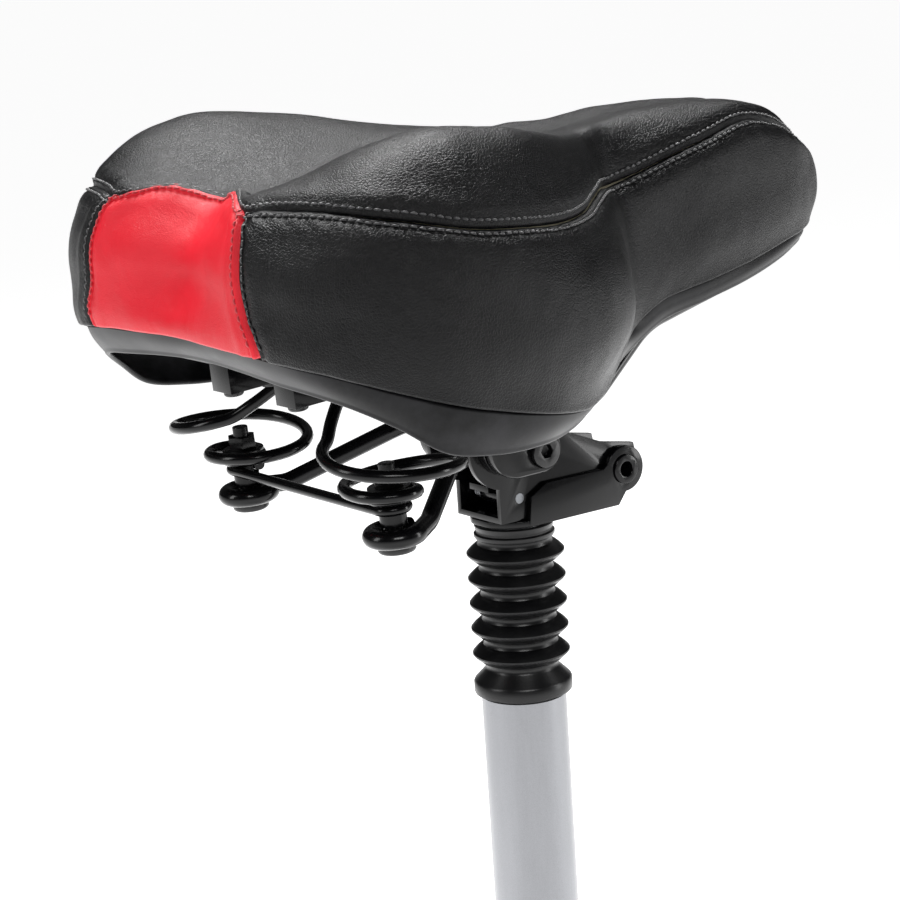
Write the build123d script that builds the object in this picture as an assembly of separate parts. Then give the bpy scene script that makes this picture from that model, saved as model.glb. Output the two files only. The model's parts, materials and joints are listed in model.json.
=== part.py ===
"""Wide sprung saddle on a flip-up bracket and a suspension seatpost.

Row frame: millimetres, +X towards the nose, +Y to the rider's left, +Z up, with the
origin at the centre of the seatpost tube's lower end. Bracket pieces are drawn in a
frame whose zero height is the underside of the lower bracket. Saddle pieces are drawn
level in that same frame and are then tilted nose-up about the clamp bolt.
"""
from build123d import *
import math
import os

# ---- fits -------------------------------------------------------------------
running_fit = 0.05      # radial room between a shaft and its hole
side_gap = 0.3          # room between faces that slide past each other
rest_gap = 0.3          # room where two moving pieces rest near each other

# ---- seatpost ---------------------------------------------------------------
tube_length = 256.0
tube_od = 33.9
tube_wall = 1.8
bush_length = 45.0
bush_head_height = 5.0
bush_head_step = 0.4    # the bush's head is this much smaller than the tube
plug_length = 20.0
plug_recess = 4.0
plug_hex = 8.0
stem_od = 22.2
stem_wall = 2.0
piston_length = 12.0
bumper_height = 6.0
bumper_round = 1.0
bumper_gap_share = 0.25  # of the room between tube and stem, left open
post_spring_wire = 3.8
post_spring_coils = 12
post_spring_room = 1.0  # between the spring and the tube

# ---- bellows ----------------------------------------------------------------
bellows_ridges = 6
bellows_pitch = 10.2
bellows_wall = 1.5
bellows_band_wall = 3.15
bellows_fold_room = 1.8    # between the stem and the folds' inside
bellows_collar_wall = 4.9
bellows_collar_slope = 1.0
bellows_collar_height = 8.0
bellows_top_gap = 1.0

# ---- flip bracket -----------------------------------------------------------
sheet = 2.4
outer_half_width = 17.0
pivot_x = 44.0
pivot_height = 14.2
ear_r = 9.2
rivet_r = 4.2
rivet_bore_r = 3.0
rivet_head_r = 5.9
rivet_head_height = 1.0
side_height = 16.0      # lower bracket's side plates
lower_front_x = 40.0
lower_side_rear_x = -4.6
ear_shoulder = 11.0     # from the rivet back to the side plate's top edge
side_step = 4.0         # drop of the top edge's rear corner
side_step_run = 9.0
side_corner_run = 1.5
neck_rear_x = -16.3
head_disc_x = -12.3
head_disc_z = 33.0
head_disc_r = 17.0
head_top = 42.0
head_neck_drop = 12.0   # from the disc's centre down to the rear edge's top
head_top_run = 3.0      # level top in front of the clamp bolt
head_slope_x = 15.5
head_slope_z = 34.4
head_shoulder_x = 35.0
head_shoulder_z = 26.4
head_tip_run = 7.0      # tip in front of the rivet
head_tip_z = 23.4
head_tip_drop = 4.7
head_ear_inset = 0.4    # the head's ear is this much smaller than the lower one
head_foot_run = 8.0
head_floor_run = 9.0
slot_room = 8.0         # along the tongue's swing
slot_side_room = 2.0

# ---- latch inside the flip head ----------------------------------------------
latch_x = -7.0
latch_z = 11.5
latch_pin_r = 2.0
latch_width = 12.0
latch_hub_r = 4.0
tongue_x = 9.0
tongue_width = 9.0
tongue_height = 12.0
latch_nose_over = 1.5   # nose above the tongue's top
latch_nose_under = 3.0
latch_heel_drop = 2.5
latch_tab_gap = 0.5     # inside the neck's rear edge
latch_tab_high = 5.0
latch_tab_low = 2.5
latch_spring_wire = 0.5
latch_spring_turns = 3
latch_spring_room = 0.4

# ---- saddle clamp -----------------------------------------------------------
clamp_x = -1.5
clamp_z = 30.9
clamp_bolt_r = 4.0
clamp_head_r = 6.4
clamp_head_height = 5.0
clamp_head_sink = 3.0
clamp_socket_flats = 5.0
clamp_socket_depth = 3.0
clamp_bolt_short = 1.0  # the bolt ends this far inside the nut's face
clamp_nut_flats = 11.0
clamp_nut_height = 4.5
cheek_lobe_x = -13.0
cheek_lobe_z = 35.4
cheek_lobe_r = 12.5
cheek_nose_r = 8.6
inner_cheek_thickness = 3.9
outer_cheek_thickness = 5.0
cheek_chamfer = 0.8
rail_groove_length = 80.0
cheek_split = 1.0
hub_r = 9.0

# ---- rails and rear springs ---------------------------------------------------
saddle_tilt = 4.0
rail_r = 3.5
rail_y = 19.0
rail_z = 44.0
rail_rear_x = -35.0
rail_front_x = 29.0
nose_setback = 48.0     # from the padding's nose back to the rails' cross run
rise_share = 0.355      # of the way to the nose run, where the rail bends again
rise_y = 14.5
rise_z = 65.5
nose_run_z = 74.0
drawn_nose_run_y = 10.0 # half width of the nose run at the drawn width
middle_gap = 0.05       # each rail ends this far from the middle plane
knee_run = 14.0
knee_slant = 37.7       # degrees that the leg leaves the eye inwards
eye_turn = 290.0        # degrees of the eye's ring
rail_radii = [14.0, 16.0, 16.0, 40.0, 5.0]
rear_setback = 49.0     # from the padding's rear end to the spring bolts
eye_y = 49.4
eye_z = 26.3
eye_r = 8.5
spring_bolt_r = 3.0
spring_bolt_top = 52.8
spring_bolt_head_r = 7.0
spring_bolt_head_height = 3.0
head_round = 1.2        # rounding of the spring bolts' and screws' heads
brace_r = 2.0
brace_lift = 6.5        # brace's centre above the rail's eye
brace_hook_turn = 200.0
brace_hook_room = 0.5
sleeve_wall = 2.0
spring_wire_r = 2.35
spring_small_r = 6.6
spring_big_r = 24.5
spring_turns = 2.5
spring_rise = 20.0
spring_step = 4.4       # room between the seat coil and the open coil above it
washer_r = 8.0
washer_thickness = 1.2
spring_nut_flats = 10.0
spring_nut_height = 5.0
m6_washer_hole_r = 3.2

# ---- saddle -------------------------------------------------------------------
drawn_length = 309.0    # the stations further down are drawn at these two sizes
drawn_width = 238.0
drawn_rear_x = -139.0
drawn_nose_x = 170.0
saddle_length = 309.0
saddle_width = 238.0
cover_thickness = 1.2
pan_wall = 3.0
pan_inset = 6.0
pan_gap = 0.3
hem_width = 14.0
rear_panel_low = 118.0
rear_panel_high = 90.0
rear_panel_depth = 27.0 # forward from the padding's rear end
rear_panel_knee_z = 105.0
hook_width = 8.0
hook_wall = 2.5
anchor_setback = 8.0    # from the spring bolts back to the clip plates
anchor_y = 22.0
anchor_length = 26.0
anchor_width = 13.0
anchor_low = 74.5
over_all = 200.0        # above everything in the saddle
under_all = 30.0        # below everything in the saddle body
beyond = 20.0           # past the saddle's ends
screw_r = 2.0
screw_head_r = 3.8
screw_head_height = 2.2
screw_spacing = 16.0
screw_tip_cover = 0.8   # pan left over a screw's tip

# ---- places that follow from the sizes above ------------------------------------
long = saddle_length / drawn_length
wide = saddle_width / drawn_width
eye_x = drawn_rear_x * long + rear_setback
anchor_x = eye_x - anchor_setback
nose_run_x = drawn_nose_x * long - nose_setback
nose_run_y = drawn_nose_run_y * wide
rise_x = rail_front_x + rise_share * (nose_run_x - rail_front_x)
bush_top = tube_length + bush_head_height
bellows_length = (
    bellows_collar_height + bellows_ridges * bellows_pitch + bush_head_height - bellows_pitch / 2
)
bellows_bottom = tube_length + bellows_top_gap
bracket_height = bellows_bottom + bellows_length + bellows_top_gap
tube_inner_r = tube_od / 2 - tube_wall
stem_r = stem_od / 2
bush_head_r = tube_od / 2 - bush_head_step
bellows_ridge_r = bush_head_r + bellows_band_wall
bellows_valley_r = stem_r + bellows_fold_room + bellows_wall
bellows_collar_r = stem_r + bellows_collar_wall
piston_top = tube_length - bush_length - bumper_height - rest_gap
stem_bottom = piston_top - piston_length
outer_inside = outer_half_width - sheet
head_half_width = outer_inside - side_gap
head_inside = head_half_width - sheet
head_floor = sheet + rest_gap
head_ear_r = ear_r - head_ear_inset
inner_cheek_y = outer_inside
rail_top_bolt_z = eye_z + rail_r
brace_z = rail_top_bolt_z + brace_lift
spring_seat_z = brace_z + brace_r + spring_wire_r
washer_z = spring_seat_z + spring_wire_r
hook_r = rail_r + hook_wall


def at_bracket(shape):
    """Raise a bracket piece from its own frame into the row frame."""
    return Pos(0, 0, bracket_height) * shape


def at_saddle(shape):
    """Tilt a level saddle piece about the clamp bolt and raise it into the row frame."""
    to_bolt = Pos(clamp_x, 0, clamp_z)
    turn = Rot(0, -saddle_tilt, 0)
    return at_bracket(to_bolt * turn * Pos(-clamp_x, 0, -clamp_z) * shape)


def upright(radius, low, high, x=0.0, y=0.0):
    """A vertical round bar between two heights."""
    return Pos(x, y, low) * extrude(Circle(radius), high - low)


def crossbar(radius, x, z, y_from, y_to):
    """A round bar lying along Y between two sides."""
    return side_plate(Pos(x, z) * Circle(radius), y_from, y_to)


def side_plate(outline, y_from, y_to):
    """A flat plate whose outline is drawn in X and Z, standing between two sides."""
    return extrude(Plane.XZ.offset(-y_to) * outline, y_to - y_from)


def hexagon(flats, turn=0.0):
    """A hexagon given by its width over the flats."""
    return Rot(0, 0, turn) * RegularPolygon(flats / math.sqrt(3), 6)


def mirrored_y(shape):
    """The same piece on the other side of the saddle's middle plane."""
    return mirror(shape, about=Plane.XZ)


# ---- seatpost pieces ----------------------------------------------------------
def make_outer_tube():
    ring = Circle(tube_od / 2) - Circle(tube_inner_r)
    tube = extrude(ring, tube_length)
    lip = tube.edges().filter_by(GeomType.CIRCLE).sort_by(Axis.Z)[-2:]
    return chamfer(lip, tube_wall / 4)


def make_guide_bush():
    low = tube_length - bush_length
    body = upright(tube_inner_r, low, tube_length)
    head = upright(bush_head_r, tube_length, bush_top)
    return body + head - upright(stem_r + running_fit, low, bush_top)


def make_preload_plug():
    body = upright(tube_inner_r, plug_recess, plug_recess + plug_length)
    socket = Pos(0, 0, plug_recess) * extrude(hexagon(plug_hex), plug_length)
    return body - socket


def make_post_spring():
    low = plug_recess + plug_length + rest_gap + post_spring_wire / 2
    high = stem_bottom - rest_gap - post_spring_wire / 2
    coil_r = tube_inner_r - post_spring_wire / 2 - post_spring_room
    path = Pos(0, 0, low) * Helix((high - low) / post_spring_coils, high - low, coil_r)
    return sweep(Plane(origin=path @ 0, z_dir=path % 0) * Circle(post_spring_wire / 2), path)


def make_inner_stem():
    ring = Circle(stem_r) - Circle(stem_r - stem_wall)
    return Pos(0, 0, stem_bottom) * extrude(ring, bracket_height - stem_bottom)


def make_piston_bush():
    outer = tube_inner_r - running_fit
    return upright(outer, stem_bottom, piston_top) - upright(stem_r, stem_bottom, piston_top)


def make_topout_bumper():
    low, high = piston_top, piston_top + bumper_height
    outer = tube_inner_r - bumper_gap_share * (tube_inner_r - stem_r)
    rubber = upright(outer, low, high) - upright(stem_r, low, high)
    return fillet(rubber.edges().sort_by(Axis.Z)[-2:], min(bumper_round, (outer - stem_r) / 3))


def make_bellows():
    """Rubber boot: one lathe profile, its outside a row of rounded folds."""
    low = bellows_bottom
    fold_low = low + bush_head_height
    outside = [(bellows_ridge_r, low), (bellows_ridge_r, fold_low)]
    inside = [(bush_head_r, low), (bush_head_r, bush_top + bellows_wall / 2)]
    for fold in range(bellows_ridges):
        valley = fold_low + (fold + 0.5) * bellows_pitch
        outside.append((bellows_valley_r, valley))
        inside.append((bellows_valley_r - bellows_wall, valley))
        if fold < bellows_ridges - 1:
            ridge = valley + bellows_pitch / 2
            outside.append((bellows_ridge_r, ridge))
            inside.append((bellows_ridge_r - bellows_wall, ridge))
    top = low + bellows_length
    collar_low = top - bellows_collar_height + bellows_collar_slope
    outside += [(bellows_collar_r, collar_low), (bellows_collar_r, top)]
    inside.append((stem_r, top - bellows_collar_height))
    inside.append((stem_r, top))
    profile = Polyline(*(outside + inside[::-1]), close=True)
    return revolve(make_face(Plane.XZ * profile), Axis.Z)


# ---- flip bracket pieces ------------------------------------------------------
def make_lower_bracket():
    """Outer channel welded to the stem, with two ears for the hinge rivet."""
    plate = make_face(Polyline(
        (lower_side_rear_x, 0), (lower_front_x, 0), (pivot_x, pivot_height - ear_r),
        (pivot_x, pivot_height + ear_r), (pivot_x - ear_shoulder, side_height),
        (lower_side_rear_x + side_step_run, side_height),
        (lower_side_rear_x + side_corner_run, side_height - side_step),
        close=True,
    ))
    plate += Pos(pivot_x, pivot_height) * Circle(ear_r)
    walls = side_plate(plate, outer_inside, outer_half_width)
    walls += side_plate(plate, -outer_half_width, -outer_inside)
    floor = extrude(Circle(outer_half_width), sheet)
    run = lower_front_x
    floor += Pos(run / 2, 0, sheet / 2) * Box(run, 2 * outer_half_width, sheet)
    tongue = Pos(tongue_x, 0, tongue_height / 2) * Box(sheet, tongue_width, tongue_height)
    rear_trim = Pos(-outer_half_width, 0, sheet / 2) * Box(
        2 * (outer_half_width + neck_rear_x), 2 * outer_half_width, sheet
    )
    body = walls + floor - rear_trim + tongue
    return body - crossbar(rivet_r, pivot_x, pivot_height, -outer_half_width, outer_half_width)


def make_pivot_rivet():
    """Hollow hinge rivet through both channels, with a rolled rim on each side."""
    reach = outer_half_width + rivet_head_height
    body = crossbar(rivet_r, pivot_x, pivot_height, -reach, reach)
    for side in (-1, 1):
        near, far = sorted((side * outer_half_width, side * reach))
        body += crossbar(rivet_head_r, pivot_x, pivot_height, near, far)
    return body - crossbar(rivet_bore_r, pivot_x, pivot_height, -reach, reach)


def make_upper_bracket():
    """Inner channel that carries the saddle clamp and swings about the rivet."""
    plate = make_face(Polyline(
        (neck_rear_x, head_floor), (neck_rear_x, head_disc_z - head_neck_drop),
        (clamp_x + head_top_run, head_top), (head_slope_x, head_slope_z),
        (head_shoulder_x, head_shoulder_z), (pivot_x + head_tip_run, head_tip_z),
        (pivot_x + head_tip_run + 1.0, head_tip_z - head_tip_drop),
        (pivot_x, pivot_height - head_ear_r), (pivot_x - head_foot_run, head_floor), close=True,
    ))
    plate += Pos(pivot_x, pivot_height) * Circle(head_ear_r)
    disc = Pos(head_disc_x, head_disc_z) * Circle(head_disc_r)
    plate += disc - Pos(head_disc_x, head_top + head_disc_r) * Rectangle(
        2 * head_disc_r, 2 * head_disc_r
    )
    walls = side_plate(plate, head_inside, head_half_width)
    walls += side_plate(plate, -head_half_width, -head_inside)
    front = pivot_x - head_floor_run
    length = front - neck_rear_x
    floor = Pos((front + neck_rear_x) / 2, 0, head_floor + sheet / 2) * Box(
        length, 2 * head_half_width, sheet
    )
    slot = Pos(tongue_x, 0, head_floor + sheet / 2) * Box(
        sheet + slot_room, tongue_width + slot_side_room, sheet * 2
    )
    body = walls + floor - slot
    body -= crossbar(
        rivet_r + running_fit, pivot_x, pivot_height, -head_half_width, head_half_width
    )
    body -= crossbar(clamp_bolt_r, clamp_x, clamp_z, -head_half_width, head_half_width)
    return body - crossbar(latch_pin_r, latch_x, latch_z, -head_half_width, head_half_width)


def make_latch_pin():
    return crossbar(latch_pin_r, latch_x, latch_z, -head_half_width, head_half_width)


def make_latch_lever():
    """Rocking catch: a nose faces the tongue and a finger tab reaches the open rear."""
    half = latch_width / 2
    nose_x = tongue_x - sheet / 2 - side_gap
    outline = Pos(latch_x, latch_z) * Circle(latch_hub_r)
    outline += make_face(Polyline(
        (latch_x, latch_z + latch_hub_r), (nose_x, tongue_height + latch_nose_over),
        (nose_x, tongue_height - latch_nose_under), (latch_x, latch_z - latch_heel_drop),
        close=True,
    ))
    tab_x = neck_rear_x + latch_tab_gap
    outline += make_face(Polyline(
        (latch_x, latch_z + latch_hub_r), (tab_x, latch_z + latch_tab_high),
        (tab_x, latch_z + latch_tab_low), (latch_x, latch_z), close=True,
    ))
    lever = side_plate(outline, -half, half)
    return lever - crossbar(latch_pin_r + running_fit, latch_x, latch_z, -half, half)


def make_latch_spring():
    """Torsion spring: three turns about the latch pin, between the lever and the wall."""
    wire = latch_spring_wire
    start = latch_width / 2 + wire + latch_spring_room
    length = head_inside - side_gap - wire - latch_spring_room - start
    coil_r = latch_pin_r + wire + latch_spring_room
    coil = Helix(length / latch_spring_turns, length, coil_r, direction=(0, 1, 0))
    path = Pos(latch_x, start, latch_z) * coil
    return sweep(Plane(origin=path @ 0, z_dir=path % 0) * Circle(wire), path)


# ---- saddle clamp pieces --------------------------------------------------------
def make_hub_tube():
    hub = crossbar(hub_r, clamp_x, clamp_z, -head_inside, head_inside)
    return hub - crossbar(clamp_bolt_r, clamp_x, clamp_z, -head_inside, head_inside)


def cheek_outline():
    """Outline of a clamp cheek: a rail lobe behind, a smaller boss on the bolt."""
    lobe = Pos(cheek_lobe_x, cheek_lobe_z) * Circle(cheek_lobe_r)
    boss = Pos(clamp_x, clamp_z) * Circle(cheek_nose_r)
    return make_hull((lobe + boss).edges())


def outer_cheek_y():
    return inner_cheek_y + inner_cheek_thickness + cheek_split


def clamp_head_y():
    return outer_cheek_y() + outer_cheek_thickness - clamp_head_sink


def rail_groove():
    bore = Cylinder(rail_r + running_fit, rail_groove_length)
    return Pos(0, rail_y, rail_z) * Rot(0, 90, 0) * bore


def make_inner_cheek():
    far = inner_cheek_y + inner_cheek_thickness
    cheek = side_plate(cheek_outline(), inner_cheek_y, far)
    hole = crossbar(clamp_bolt_r + running_fit, clamp_x, clamp_z, inner_cheek_y, far)
    return cheek - hole - rail_groove()


def make_outer_cheek():
    near = outer_cheek_y()
    far = near + outer_cheek_thickness
    cheek = side_plate(cheek_outline(), near, far)
    rim = cheek.faces().sort_by(Axis.Y)[-1].edges()
    cheek = chamfer(rim, cheek_chamfer)
    hole = crossbar(clamp_bolt_r + running_fit, clamp_x, clamp_z, near, far)
    seat = crossbar(clamp_head_r + side_gap, clamp_x, clamp_z, clamp_head_y() - side_gap, far)
    return cheek - hole - seat - rail_groove()


def make_clamp_bolt():
    """Cross bolt: low round head with a hexagon socket on the right-hand side."""
    head = clamp_head_y()
    far = head + clamp_head_height
    bolt = crossbar(clamp_bolt_r, clamp_x, clamp_z, -head, far - clamp_bolt_short)
    bolt += crossbar(clamp_head_r, clamp_x, clamp_z, -far, -head)
    socket_shape = Pos(clamp_x, clamp_z) * hexagon(clamp_socket_flats)
    socket = side_plate(socket_shape, -far, -far + clamp_socket_depth)
    return bolt - socket


def make_clamp_nut():
    head = clamp_head_y()
    far = head + clamp_nut_height
    nut = side_plate(Pos(clamp_x, clamp_z) * hexagon(clamp_nut_flats), head, far)
    return nut - crossbar(clamp_bolt_r, clamp_x, clamp_z, head, far)


# ---- rails and rear springs -------------------------------------------------------
def make_rail():
    """Left rail: an eye round the spring bolt, a leg, a clamp run, a rise, a nose run."""
    slant = math.radians(knee_slant)
    start = Vector(eye_x + eye_r * math.sin(slant), eye_y + eye_r * math.cos(slant), eye_z)
    knee = start + Vector(math.cos(slant), -math.sin(slant), 0) * knee_run
    eye = Pos(eye_x, eye_y, eye_z) * CenterArc((0, 0), eye_r, 90 - knee_slant, eye_turn)
    run = FilletPolyline(
        start, knee, (rail_rear_x, rail_y, rail_z), (rail_front_x, rail_y, rail_z),
        (rise_x, rise_y, rise_z), (nose_run_x, nose_run_y, nose_run_z),
        (nose_run_x, middle_gap, nose_run_z),
        radius=rail_radii,
    )
    section = Circle(rail_r)
    tail = sweep(Plane(origin=eye @ 0, z_dir=eye % 0) * section, eye)
    leg = sweep(Plane(origin=run @ 0, z_dir=run % 0) * section, run)
    return tail + leg


def make_cross_brace():
    """Stay between the spring bolts, hooked half round each bolt."""
    reach = spring_bolt_r + brace_r + brace_hook_room
    bar_x = eye_x - reach
    bar = Pos(bar_x, 0, brace_z) * Rot(90, 0, 0) * Cylinder(brace_r, 2 * eye_y)
    for side in (-1, 1):
        bend = CenterArc((0, 0), reach, 180, -side * brace_hook_turn)
        arc = Pos(eye_x, side * eye_y, brace_z) * bend
        bar += sweep(Plane(origin=arc @ 0, z_dir=arc % 0) * Circle(brace_r), arc)
    return bar


def make_spring_bolt():
    low = eye_z - rail_r - spring_bolt_head_height
    shank = upright(spring_bolt_r, low, spring_bolt_top, eye_x, eye_y)
    head = upright(spring_bolt_head_r, low, low + spring_bolt_head_height, eye_x, eye_y)
    head = fillet(head.edges().sort_by(Axis.Z)[0], head_round)
    return shank + head


def ring(outer_r, inner_r, low, high):
    return upright(outer_r, low, high, eye_x, eye_y) - upright(inner_r, low, high, eye_x, eye_y)


def make_spring_sleeve():
    return ring(spring_bolt_r + sleeve_wall, spring_bolt_r, rail_top_bolt_z, brace_z - brace_r)


def make_spring_washer():
    return ring(washer_r, m6_washer_hole_r, washer_z, washer_z + washer_thickness)


def make_spring_nut():
    low = washer_z + washer_thickness
    nut = Pos(eye_x, eye_y, low) * extrude(hexagon(spring_nut_flats), spring_nut_height)
    return nut - upright(spring_bolt_r, low, low + spring_nut_height, eye_x, eye_y)


def make_rear_spring():
    """Left conical spring: a seat coil on the bolt, an opening cone, a tail to the pan."""
    start_r = spring_small_r + spring_step
    slope = math.degrees(math.atan2(spring_big_r - start_r, spring_rise))
    cone = Helix(spring_rise / spring_turns, spring_rise, start_r, cone_angle=slope)
    coil = sweep(Plane(origin=cone @ 0, z_dir=cone % 0) * Circle(spring_wire_r), cone)
    seat = Torus(spring_small_r, spring_wire_r)
    base = Vector(eye_x, eye_y, spring_seat_z)
    body = Pos(*base) * (seat + coil)
    top = base + (cone @ 1)
    tail_end = Vector(anchor_x, anchor_y, anchor_low - rest_gap - spring_wire_r)
    reach = tail_end - top
    body += extrude(Plane(origin=top, z_dir=reach) * Circle(spring_wire_r), reach.length)
    return body + Pos(*top) * Sphere(spring_wire_r) + Pos(*tail_end) * Sphere(spring_wire_r)


# ---- saddle body --------------------------------------------------------------
# Each station of the saddle at its drawn length and width: place along X, bulge (half width,
# height), rim (half width, height), crest (half spacing, height), height on the middle
# line, seam (half spacing, height).
drawn_stations = [
    (drawn_rear_x, (84, 119), (77, 104), (55, 141), 133, (75, 137)),
    (-128, (103, 117), (94, 97), (58, 161), 146, (86, 153)),
    (-112, (113, 112), (105, 90), (60, 170), 152, (104, 149)),
    (-85, (119, 108), (112, 80), (60, 174), 155, (107, 141)),
    (-50, (117, 103), (109, 70), (60, 171), 158, (101, 134)),
    (-20, (103, 100), (94, 67), (57, 162), 157, (84, 131)),
    (0, (84, 98), (76, 68), (46, 157), 155, (67, 131)),
    (22, (58, 98), (52, 70), (30, 152), 151, (46, 130)),
    (50, (43, 100), (38, 79), (18, 150), 149, (36, 129)),
    (83, (38, 102), (33, 81.5), (15, 150), 150, (33, 136)),
    (112, (33, 104), (29, 84), (12, 147), 147, (28, 139)),
    (140, (26, 106), (22, 86), (9, 139), 140, (19, 131)),
    (160, (16, 104), (13, 88), (5, 125), 126, (11, 119)),
    (drawn_nose_x, (7, 100), (6, 92), (2, 109), 110, (5, 106)),
]


def fitted(station):
    """One drawn station at the saddle's own length and width."""
    x, bulge, rim, crest, middle, seam = station
    pairs = [(y * wide, z) for y, z in (bulge, rim, crest, seam)]
    return (x * long, pairs[0], pairs[1], pairs[2], middle, pairs[3])


stations = [fitted(station) for station in drawn_stations]


def saddle_section(station, grow):
    """Closed section of the padding, or of the padding grown by the cover."""
    x, bulge, rim, crest, middle, seam = station
    side = [
        (rim[0] + grow / 2, rim[1] - grow), (bulge[0] + grow, bulge[1]),
        (seam[0] + grow * 0.7, seam[1] + grow * 0.7), (crest[0], crest[1] + grow),
    ]
    left = [(x, y, z) for y, z in side]
    right = [(x, -y, z) for y, z in side[::-1]]
    over = Spline(*left, (x, 0, middle + grow), *right)
    under = Line(right[-1], left[0])
    return make_face([over, under])


def saddle_solid(grow):
    """Padding lofted through its stations; its ends move out by the growth."""
    ends = [stations[0], stations[-1]]
    sections = []
    for station in stations:
        shift = 0.0
        if station is ends[0]:
            shift = -grow
        if station is ends[1]:
            shift = grow
        moved = (station[0] + shift,) + station[1:]
        sections.append(saddle_section(moved, grow))
    return loft(sections)


def plan_outline(inset):
    """The rim seen from above, moved inwards."""
    left = [(x, rim[0] - inset) for x, _, rim, _, _, _ in stations[1:-1]]
    rear = stations[0][0] + inset
    nose = stations[-1][0] - inset
    left_edge = Spline((rear, left[0][1] - 10.0), *left, (nose, 0))
    right_edge = mirror(left_edge, about=Plane.XZ)
    back = Line(left_edge @ 0, right_edge @ 0)
    return make_face([left_edge, right_edge, back])


def under_rim(drop):
    """Everything below the rim line, seen from the side, lowered by a drop."""
    top = Spline(*[(x, rim[1] - drop) for x, _, rim, _, _, _ in stations])
    first, last = top @ 0, top @ 1
    frame = Polyline(last, (last.X, under_all), (first.X, under_all), first)
    return side_plate(make_face([top, frame]), -saddle_width, saddle_width)


def above_skirt():
    """Everything above the skirt's lower edge, seen from the side."""
    edge = [
        (-145, 88), (-131, 88), (-118, 80), (-103, 66), (-85, 62), (-40, 58), (-15, 60),
        (25, 62), (40, 62), (56, 70), (82, 73), (110, 75), (133, 77.5), (149, 79), (175, 84),
    ]
    edge = [(x * long, z) for x, z in edge]
    frame = Polyline(edge[-1], (edge[-1][0], over_all), (edge[0][0], over_all), edge[0])
    return side_plate(make_face([Spline(*edge), frame]), -saddle_width, saddle_width)


def under_pan():
    """The space below the pan's roof, where clips are fixed to it."""
    return under_rim(cover_thickness + pan_gap + pan_wall)


def screw_places():
    """Screws through the left anchor, fore and aft of the spring's tail."""
    return [(anchor_x + side * screw_spacing / 2, anchor_y) for side in (-1, 1)]


def make_pan_shell():
    """Moulded pan: a roof under the padding with a skirt hanging all round."""
    drop = cover_thickness + pan_gap
    outside = extrude(plan_outline(pan_inset), over_all) & under_rim(drop)
    hollow = extrude(plan_outline(pan_inset + pan_wall), over_all) & under_pan()
    shell = (outside - hollow) & above_skirt()
    for x, y in screw_places():
        for side in (-1, 1):
            shell -= upright(screw_r, anchor_low, over_all, x, side * y)
    return shell


def make_spring_anchor():
    """Left clip plate that traps the spring's tail against the pan's roof."""
    block = Pos(anchor_x, anchor_y, anchor_low) * Box(
        anchor_length, anchor_width, over_all, align=(Align.CENTER, Align.CENTER, Align.MIN)
    )
    plate = block & under_pan()
    for x, y in screw_places():
        plate -= upright(screw_r, anchor_low, over_all, x, y)
    return plate


def make_anchor_screw(x, y):
    """Round-head screw through an anchor plate into the pan's roof."""
    tip = under_rim(cover_thickness + pan_gap + screw_tip_cover)
    shank = upright(screw_r, anchor_low, over_all, x, y) & tip
    head = upright(screw_head_r, anchor_low - screw_head_height, anchor_low, x, y)
    return shank + fillet(head.edges().sort_by(Axis.Z)[0], head_round)


def make_cover():
    """Sewn cover, split into a top, two sides and a rear panel."""
    skin = saddle_solid(cover_thickness) - saddle_solid(0)
    core = extrude(plan_outline(hem_width), over_all) & under_rim(-cover_thickness / 2)
    skin -= core
    seam = [(x, line[1] + cover_thickness / 2) for x, _, _, _, _, line in stations[1:-1]]
    far_rear, far_nose = stations[0][0] - beyond, stations[-1][0] + beyond
    edge = Polyline((far_rear, seam[0][1]), *seam, (far_nose, seam[-1][1] - beyond))
    frame = Polyline(edge @ 1, (far_nose, over_all), (far_rear, over_all), edge @ 0)
    above = side_plate(make_face([edge, frame]), -saddle_width, saddle_width)
    low_y, high_y = rear_panel_low * wide / 2, rear_panel_high * wide / 2
    top_z = seam[0][1]
    wedge = make_face(Polyline(
        (-low_y, under_all), (low_y, under_all), (low_y, rear_panel_knee_z), (high_y, top_z),
        (-high_y, top_z), (-low_y, rear_panel_knee_z), close=True,
    ))
    rear_reach = rear_panel_depth + beyond
    rear_wedge = extrude(Plane.YZ.offset(far_rear) * wedge, rear_reach)
    left_half = Pos(0, saddle_width) * Box(2 * saddle_length, 2 * saddle_width, 2 * over_all)
    rear = skin & rear_wedge
    rest = skin - rear_wedge
    top = rest & above
    sides = rest - above
    return top, sides & left_half, sides - left_half, rear


def make_nose_hook():
    """Clip under the pan's nose that holds the rails' cross run."""
    half = hook_width / 2
    block = Pos(nose_run_x, nose_run_z) * Circle(hook_r)
    block += Pos(nose_run_x, nose_run_z + hook_r) * Rectangle(2 * hook_r, 2 * hook_r)
    clip = side_plate(block, -half, half) & under_pan()
    return clip - crossbar(rail_r + running_fit, nose_run_x, nose_run_z, -half, half)


def save(shape, node):
    export_step(shape, f"parts/{node}.step")


def save_both(shape, node):
    """Write a left piece and its mirrored twin as two nodes."""
    save(at_saddle(shape), node + "_left")
    save(at_saddle(mirrored_y(shape)), node + "_right")


def save_pair(shape, node):
    """Write two identical fasteners as one node."""
    twin = mirrored_y(shape)
    save(Compound(children=[at_saddle(shape), at_saddle(twin)]), node)


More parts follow.
